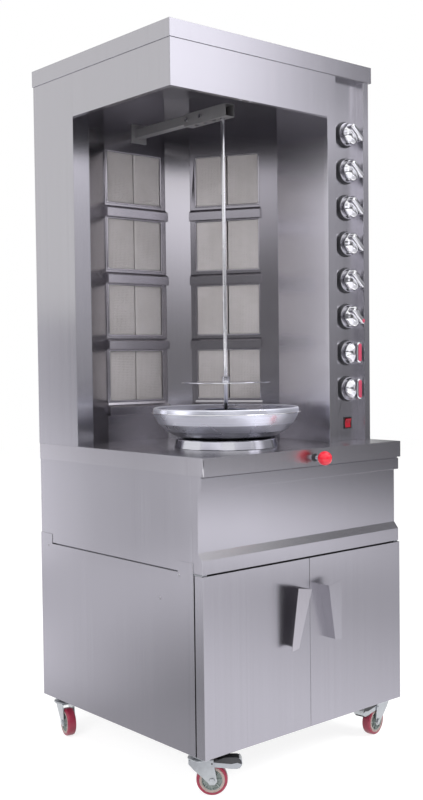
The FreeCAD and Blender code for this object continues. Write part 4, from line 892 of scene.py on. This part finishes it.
def nose(radius, first, last, steps):
    """Part of a circle round the pedal's nose, in degrees from straight up toward the tip."""
    centre_x, centre_z = TRAIL + 0.0575, 0.0790
    points = []
    for step in range(steps + 1):
        turn = math.radians(first + (last - first) * step / steps)
        points.append((centre_x + radius * math.sin(turn), centre_z + radius * math.cos(turn)))
    return points


def add_cheek(shape, fork, side, outline, proud):
    """One side of the pedal."""
    inner, outer = 0.0131, 0.0143 + proud
    edge = 0.0003
    outlines = []
    for inset, y in ((edge, inner), (0.0, inner + edge), (0.0, outer - edge), (edge, outer)):
        outlines.append([(x, side * y, z - inset) for x, z in outline])
    if side < 0:
        outlines.reverse()
    shape.loft(outlines, fork)


def add_strap(shape, fork):
    """A pressed strap from under the pedal round its nose."""
    path = [(TRAIL + 0.036, 0.0660), (TRAIL + 0.044, 0.0650), *nose(0.0142, 180, 30, 14)]
    inner = [(TRAIL + 0.036, 0.0675), (TRAIL + 0.044, 0.0664), *nose(0.0128, 180, 30, 14)]
    outline = path + inner[::-1]
    outlines = [[(x, y, z) for x, z in outline] for y in (-0.0150, -0.0146, 0.0146, 0.0150)]
    shape.loft(outlines, fork)


PEDAL_SLOPE = 12.5 / 54

# Outlines of the cheeks as seen from the side
UPPER_CHEEK = [(TRAIL + 0.002, 0.0790), (TRAIL + 0.002, 0.0820), (TRAIL + 0.030, 0.0915),
               *nose(0.0125, 0, 100, 8), (TRAIL + 0.048, 0.0745)]
LOWER_CHEEK = [(TRAIL - 0.008, 0.0765), (TRAIL + 0.004, 0.0805), (TRAIL + 0.046, 0.0760),
               (TRAIL + 0.060, 0.0790), *nose(0.0128, 105, 180, 7), (TRAIL + 0.034, 0.0668),
               (TRAIL - 0.004, 0.0700)]
build_casters()


# Fasteners and small marks of making

def build_screws():
    """Four rows of screws on the back panel."""
    shape = Shape()
    for x in (-0.335, -0.1117, 0.1117, 0.335):
        for z in (0.835, 1.145, 1.455, 1.750):
            add_screw(shape, at((x, BACK, z), (0, 1, 0)))
    shape.piece("back_screws", CASING, "zinc", zinc)


def build_weld_spots():
    """Three small spots where the left side is welded."""
    shape = Shape()
    left = -0.35
    for y, z in ((0.3102, 0.5212), (-0.2576, 0.5204), (-0.1837, 0.4541)):
        shape.spin([(0.0, 0.0005), (0.0022, 0.0004), (0.0034, 0.0)], at((left, y, z), (-1, 0, 0)),
                   24, False)
    shape.piece("weld_spots", CASING, "casing_steel", steel_dim)


def build_door_bead():
    """A bead on the left door, which covers the gap between the doors."""
    shape = Shape()
    shape.block((-0.0014, -0.3436, 0.1008), (0.0002, -0.3400, 0.5262), 0.0003)
    shape.piece("door_bead", "left_door", "casing_steel", steel)


def build_rivets():
    """Two rivets under the canopy."""
    shape = Shape()
    for x in (-0.1224, -0.0920):
        shape.spin([(0.0, -0.0016), (0.0016, -0.0013), (0.0026, -0.0006), (0.0028, 0.0)],
                   Matrix.Translation((x, -0.2415, 1.662)), 24, False)
    shape.piece("canopy_rivets", CASING, "polished_steel", chrome)


def build_clamp_heads():
    """The heads of the upper channel's two clamp bolts."""
    shape = Shape()
    for y in (-0.061, -0.006):
        add_nut(shape, at((-0.1040, y, 1.658), (-1, 0, 0)), 0.0056, 0.0006)
    shape.piece("clamp_heads", "channel", "polished_steel", chrome)


def build_inlet():
    """The hexagon on the gas inlet."""
    shape = Shape()
    add_nut(shape, at((KNOB_X, 0.3503, 0.87), (0, 1, 0)), 0.0176, 0.0142)
    shape.piece("inlet_hexagon", CASING, "gas_brass", brass)


def build_gland():
    """The domed nut of the lead's gland."""
    shape = Shape()
    dome = [(0.0043, 0.3495), (0.0123, 0.3495), (0.0123, 0.3585), (0.0108, 0.3640),
            (0.0085, 0.3684), (0.0043, 0.3684)]
    backward = Matrix.Rotation(math.radians(-90), 4, "X")
    shape.spin(rounded(dome, 0.0010, 3), Matrix.Translation((0.25, 0, 0.64)) @ backward, 48)
    shape.piece("gland_dome", CASING, "black_plastic", black)


build_screws()
build_weld_spots()
build_door_bead()
build_rivets()
build_clamp_heads()
build_inlet()
build_gland()


# Floor, light and camera

def light_path(tree):
    """One where a ray comes straight from the camera, a gloss or a glass."""
    path = tree.nodes.new("ShaderNodeLightPath")
    total = path.outputs["Is Camera Ray"]
    for kind in ("Is Glossy Ray", "Is Transmission Ray"):
        larger = tree.nodes.new("ShaderNodeMath")
        larger.operation = "MAXIMUM"
        tree.links.new(total, larger.inputs[0])
        tree.links.new(path.outputs[kind], larger.inputs[1])
        total = larger.outputs[0]
    return total


def build_world():
    """Soft grey light, with a white background for the camera and for reflections."""
    world = bpy.data.worlds.new("studio")
    scene.world = world
    world.use_nodes = True
    tree = world.node_tree
    tree.nodes.clear()
    lighting = tree.nodes.new("ShaderNodeBackground")
    lighting.inputs["Color"].default_value = (1, 1, 1, 1)
    lighting.inputs["Strength"].default_value = 0.55
    backdrop = tree.nodes.new("ShaderNodeBackground")
    backdrop.inputs["Color"].default_value = (1, 1, 1, 1)
    backdrop.inputs["Strength"].default_value = 1.0
    mix = tree.nodes.new("ShaderNodeMixShader")
    output = tree.nodes.new("ShaderNodeOutputWorld")
    tree.links.new(light_path(tree), mix.inputs[0])
    tree.links.new(lighting.outputs[0], mix.inputs[1])
    tree.links.new(backdrop.outputs[0], mix.inputs[2])
    tree.links.new(mix.outputs[0], output.inputs[0])


def build_floor():
    """A plain pale floor that keeps the shadow."""
    half = 9.0
    lit_share = 0.34
    own_glow = 0.80
    mesh = bpy.data.meshes.new("floor")
    mesh.from_pydata([(-half, -half, 0), (half, -half, 0), (half, half, 0), (-half, half, 0)], [],
                     [(0, 1, 2, 3)])
    floor = bpy.data.objects.new("floor", mesh)
    scene.collection.objects.link(floor)
    material = bpy.data.materials.new("floor")
    material.use_nodes = True
    tree = material.node_tree
    tree.nodes.clear()
    plain = tree.nodes.new("ShaderNodeBsdfDiffuse")
    plain.inputs["Color"].default_value = (0.75, 0.75, 0.75, 1)
    seen = tree.nodes.new("ShaderNodeBsdfDiffuse")
    seen.inputs["Color"].default_value = (lit_share, lit_share, lit_share, 1)
    glow = tree.nodes.new("ShaderNodeEmission")
    glow.inputs["Strength"].default_value = own_glow
    both = tree.nodes.new("ShaderNodeAddShader")
    mix = tree.nodes.new("ShaderNodeMixShader")
    output = tree.nodes.new("ShaderNodeOutputMaterial")
    tree.links.new(seen.outputs[0], both.inputs[0])
    tree.links.new(glow.outputs[0], both.inputs[1])
    tree.links.new(light_path(tree), mix.inputs[0])
    tree.links.new(plain.outputs[0], mix.inputs[1])
    tree.links.new(both.outputs[0], mix.inputs[2])
    tree.links.new(mix.outputs[0], output.inputs[0])
    mesh.materials.append(material)


def aim(thing, place, target):
    thing.location = place
    thing.rotation_euler = (Vector(target) - Vector(place)).to_track_quat("-Z", "Y").to_euler()


def add_lamp(name, place, target, width, height, power):
    """A soft lamp. The reflections come from the boards instead."""
    light = bpy.data.lights.new(name, "AREA")
    light.shape = "RECTANGLE"
    light.size = width
    light.size_y = height
    light.energy = power
    lamp = bpy.data.objects.new(name, light)
    scene.collection.objects.link(lamp)
    lamp.visible_glossy = False
    aim(lamp, place, target)


# A run of greys that stays the same
EVEN = ((0.0, 1.0), (1.0, 1.0))


def standing(bearing, distance, width, low, high):
    """The corners of a board that stands across a bearing, in degrees from the front."""
    turn = math.radians(bearing)
    centre = Vector((math.sin(turn), -math.cos(turn))) * distance
    side = Vector((math.cos(turn), math.sin(turn))) * width / 2
    left, right = centre - side, centre + side
    return (*left, low), (*right, low), (*right, high), (*left, high)


def add_board(name, corners, across, upward, strength=1.0, fade=0.12):
    """A studio board that only reflections see. Its tone is one run of greys from its left times
    another from its foot, and its two ends fade away."""
    mesh = bpy.data.meshes.new(name)
    mesh.from_pydata(corners, [], [(0, 1, 2, 3)])
    layer = mesh.uv_layers.new(name="along")
    for loop, uv in zip(layer.data, ((0, 0), (1, 0), (1, 1), (0, 1))):
        loop.uv = uv
    board = bpy.data.objects.new(name, mesh)
    scene.collection.objects.link(board)
    board.visible_camera = False
    board.visible_diffuse = False
    board.visible_shadow = False
    tree = Tree(name)
    tree.nodes.remove(tree.shader)
    split = tree.add("SeparateXYZ", {0: tree.add("TexCoord").outputs["UV"]})
    tone = tree.vector("MULTIPLY", add_stops(tree, split.outputs[0], across),
                       add_stops(tree, split.outputs[1], upward))
    cover = add_stops(tree, split.outputs[0], ((0, 0), (fade, 1), (1 - fade, 1), (1, 0)))
    cool = tree.vector("MULTIPLY", tone, (0.985, 0.975, 1.04))
    glow = tree.add("Emission", {0: cool, 1: strength})
    clear = tree.add("BsdfTransparent")
    mix = tree.add("MixShader", {0: cover, 1: clear.outputs[0], 2: glow.outputs[0]})
    tree.links.new(mix.outputs[0], tree.nodes["Material Output"].inputs[0])
    mesh.materials.append(tree.material)


def add_stops(tree, value, shades):
    """A run of greys."""
    ramp = tree.add("ValToRGB", {"Fac": value})
    stops = ramp.color_ramp.elements
    for end, (position, grey) in ((0, shades[0]), (1, shades[-1])):
        stops[end].position = position
        stops[end].color = (grey, grey, grey, 1)
    for position, grey in shades[1:-1]:
        stops.new(position).color = (grey, grey, grey, 1)
    return ramp.outputs[0]


def build_camera():
    """The photograph's viewpoint."""
    yaw, pitch, roll = (math.radians(angle) for angle in (49.2855, 2.115, 0.687))
    ahead = Vector((math.cos(pitch) * math.cos(yaw), math.cos(pitch) * math.sin(yaw),
                    -math.sin(pitch)))
    level = Vector((math.sin(yaw), -math.cos(yaw), 0))
    upright = level.cross(ahead)
    right = level * math.cos(roll) - upright * math.sin(roll)
    up = upright * math.cos(roll) + level * math.sin(roll)
    view = bpy.data.cameras.new("camera")
    sensor = 36.0
    focal_pixels, picture_height = 1071.7, 800
    view.sensor_width = sensor
    view.lens = sensor * focal_pixels / picture_height
    camera = bpy.data.objects.new("camera", view)
    camera.matrix_world = Matrix.Translation((-1.9193, -2.2057, 1.0231)) @ Matrix(
        (right, up, -ahead)).transposed().to_4x4()
    scene.collection.objects.link(camera)
    scene.camera = camera


build_world()
build_floor()
add_lamp("key", (2.3, -3.3, 2.9), (-0.1, -0.2, 1.2), 1.8, 1.6, 120)
add_lamp("top", (-0.6, -0.8, 4.2), (0, 0, 1.0), 2.6, 2.6, 110)
add_lamp("left", (-3.6, -1.6, 2.2), (-0.2, 0, 1.0), 1.8, 1.8, 90)
add_board("front_board", standing(52, 2.9, 4.6, 0.0, 3.2),
          ((0.0, 0.5), (0.14, 0.6), (0.21, 1.08), (0.31, 1.1), (0.37, 0.78), (0.43, 0.52),
           (0.49, 0.36), (1.0, 0.36)),
          ((0.0, 1.5), (0.07, 1.4), (0.12, 0.55), (0.16, 0.24), (0.21, 0.33), (0.26, 0.42),
           (0.32, 0.50), (0.40, 0.68), (0.47, 0.82), (0.54, 0.84), (0.61, 0.82), (0.65, 1.4),
           (0.69, 1.6), (0.715, 0.5), (0.75, 0.3), (1.0, 0.3)), 1.15)
add_board("soft_box", standing(27, 2.6, 1.3, 2.0, 3.1), EVEN,
          ((0.0, 0.3), (0.2, 1.0), (1.0, 1.0)), 2.3, 0.04)
add_board("low_card", standing(-108, 2.2, 1.0, 0.1, 1.1), EVEN, EVEN, 2.2, 0.2)
add_board("side_board", standing(-144, 3.0, 2.4, 0.0, 1.25),
          ((0.0, 1.6), (0.42, 1.5), (0.49, 0.7), (0.56, 0.32), (1.0, 0.28)),
          ((0.0, 1.2), (0.4, 1.15), (0.7, 0.8), (1.0, 0.75)), 1.0, 0.1)
add_board("rear_board", standing(-40.7, 4.6, 3.0, 0.0, 2.3), EVEN,
          ((0.0, 0.6), (0.2, 0.4), (0.36, 0.20), (0.52, 0.22), (0.62, 0.42), (0.72, 0.80),
           (0.84, 1.3), (1.0, 1.5)), 1.0, 0.2)
add_board("left_board", standing(-74, 2.8, 3.0, 0.3, 2.8), EVEN,
          ((0.0, 0.24), (0.2, 0.24), (0.52, 0.10), (0.61, 0.8), (0.67, 1.25), (0.76, 0.8),
           (0.84, 0.5), (1.0, 0.5)), 1.0, 0.2)
add_board("dark_front", standing(-3, 3.8, 3.2, 0.0, 2.7), EVEN,
          ((0.0, 1.0), (0.14, 0.7), (0.26, 0.10), (0.56, 0.08), (0.72, 0.5), (1.0, 1.0)), 1.0, 0.15)
add_board("dark_right", standing(101, 2.8, 2.6, 0.2, 3.4), EVEN,
          ((0.0, 0.9), (0.25, 0.12), (0.75, 0.10), (1.0, 0.9)), 1.0, 0.15)
add_board("overhead", ((0.1, -1.9, 3.1), (1.1, -1.9, 3.1), (1.1, -1.0, 3.1), (0.1, -1.0, 3.1)),
          EVEN, EVEN, 2.6, 0.1)
add_board("front_mat", ((-1.2, -3.4, 0.002), (3.2, -3.4, 0.002), (3.2, -0.42, 0.002),
                        (-1.2, -0.42, 0.002)),
          ((0.0, 1.1), (0.34, 1.06), (0.46, 0.85), (0.58, 0.64), (1.0, 0.52)),
          EVEN, 1.0, 0.1)
add_board("side_mat", ((-0.42, -0.8, 0.002), (-0.42, 3.0, 0.002), (-3.2, 3.0, 0.002),
                       (-3.2, -0.8, 0.002)),
          ((0.0, 0.26), (0.30, 0.34), (0.42, 0.62), (0.55, 0.88), (1.0, 1.0)),
          ((0.0, 1.7), (0.10, 1.55), (0.2, 1.05), (0.3, 0.92), (1.0, 0.92)), 1.0, 0.1)
build_camera()

scene.view_settings.view_transform = "Standard"
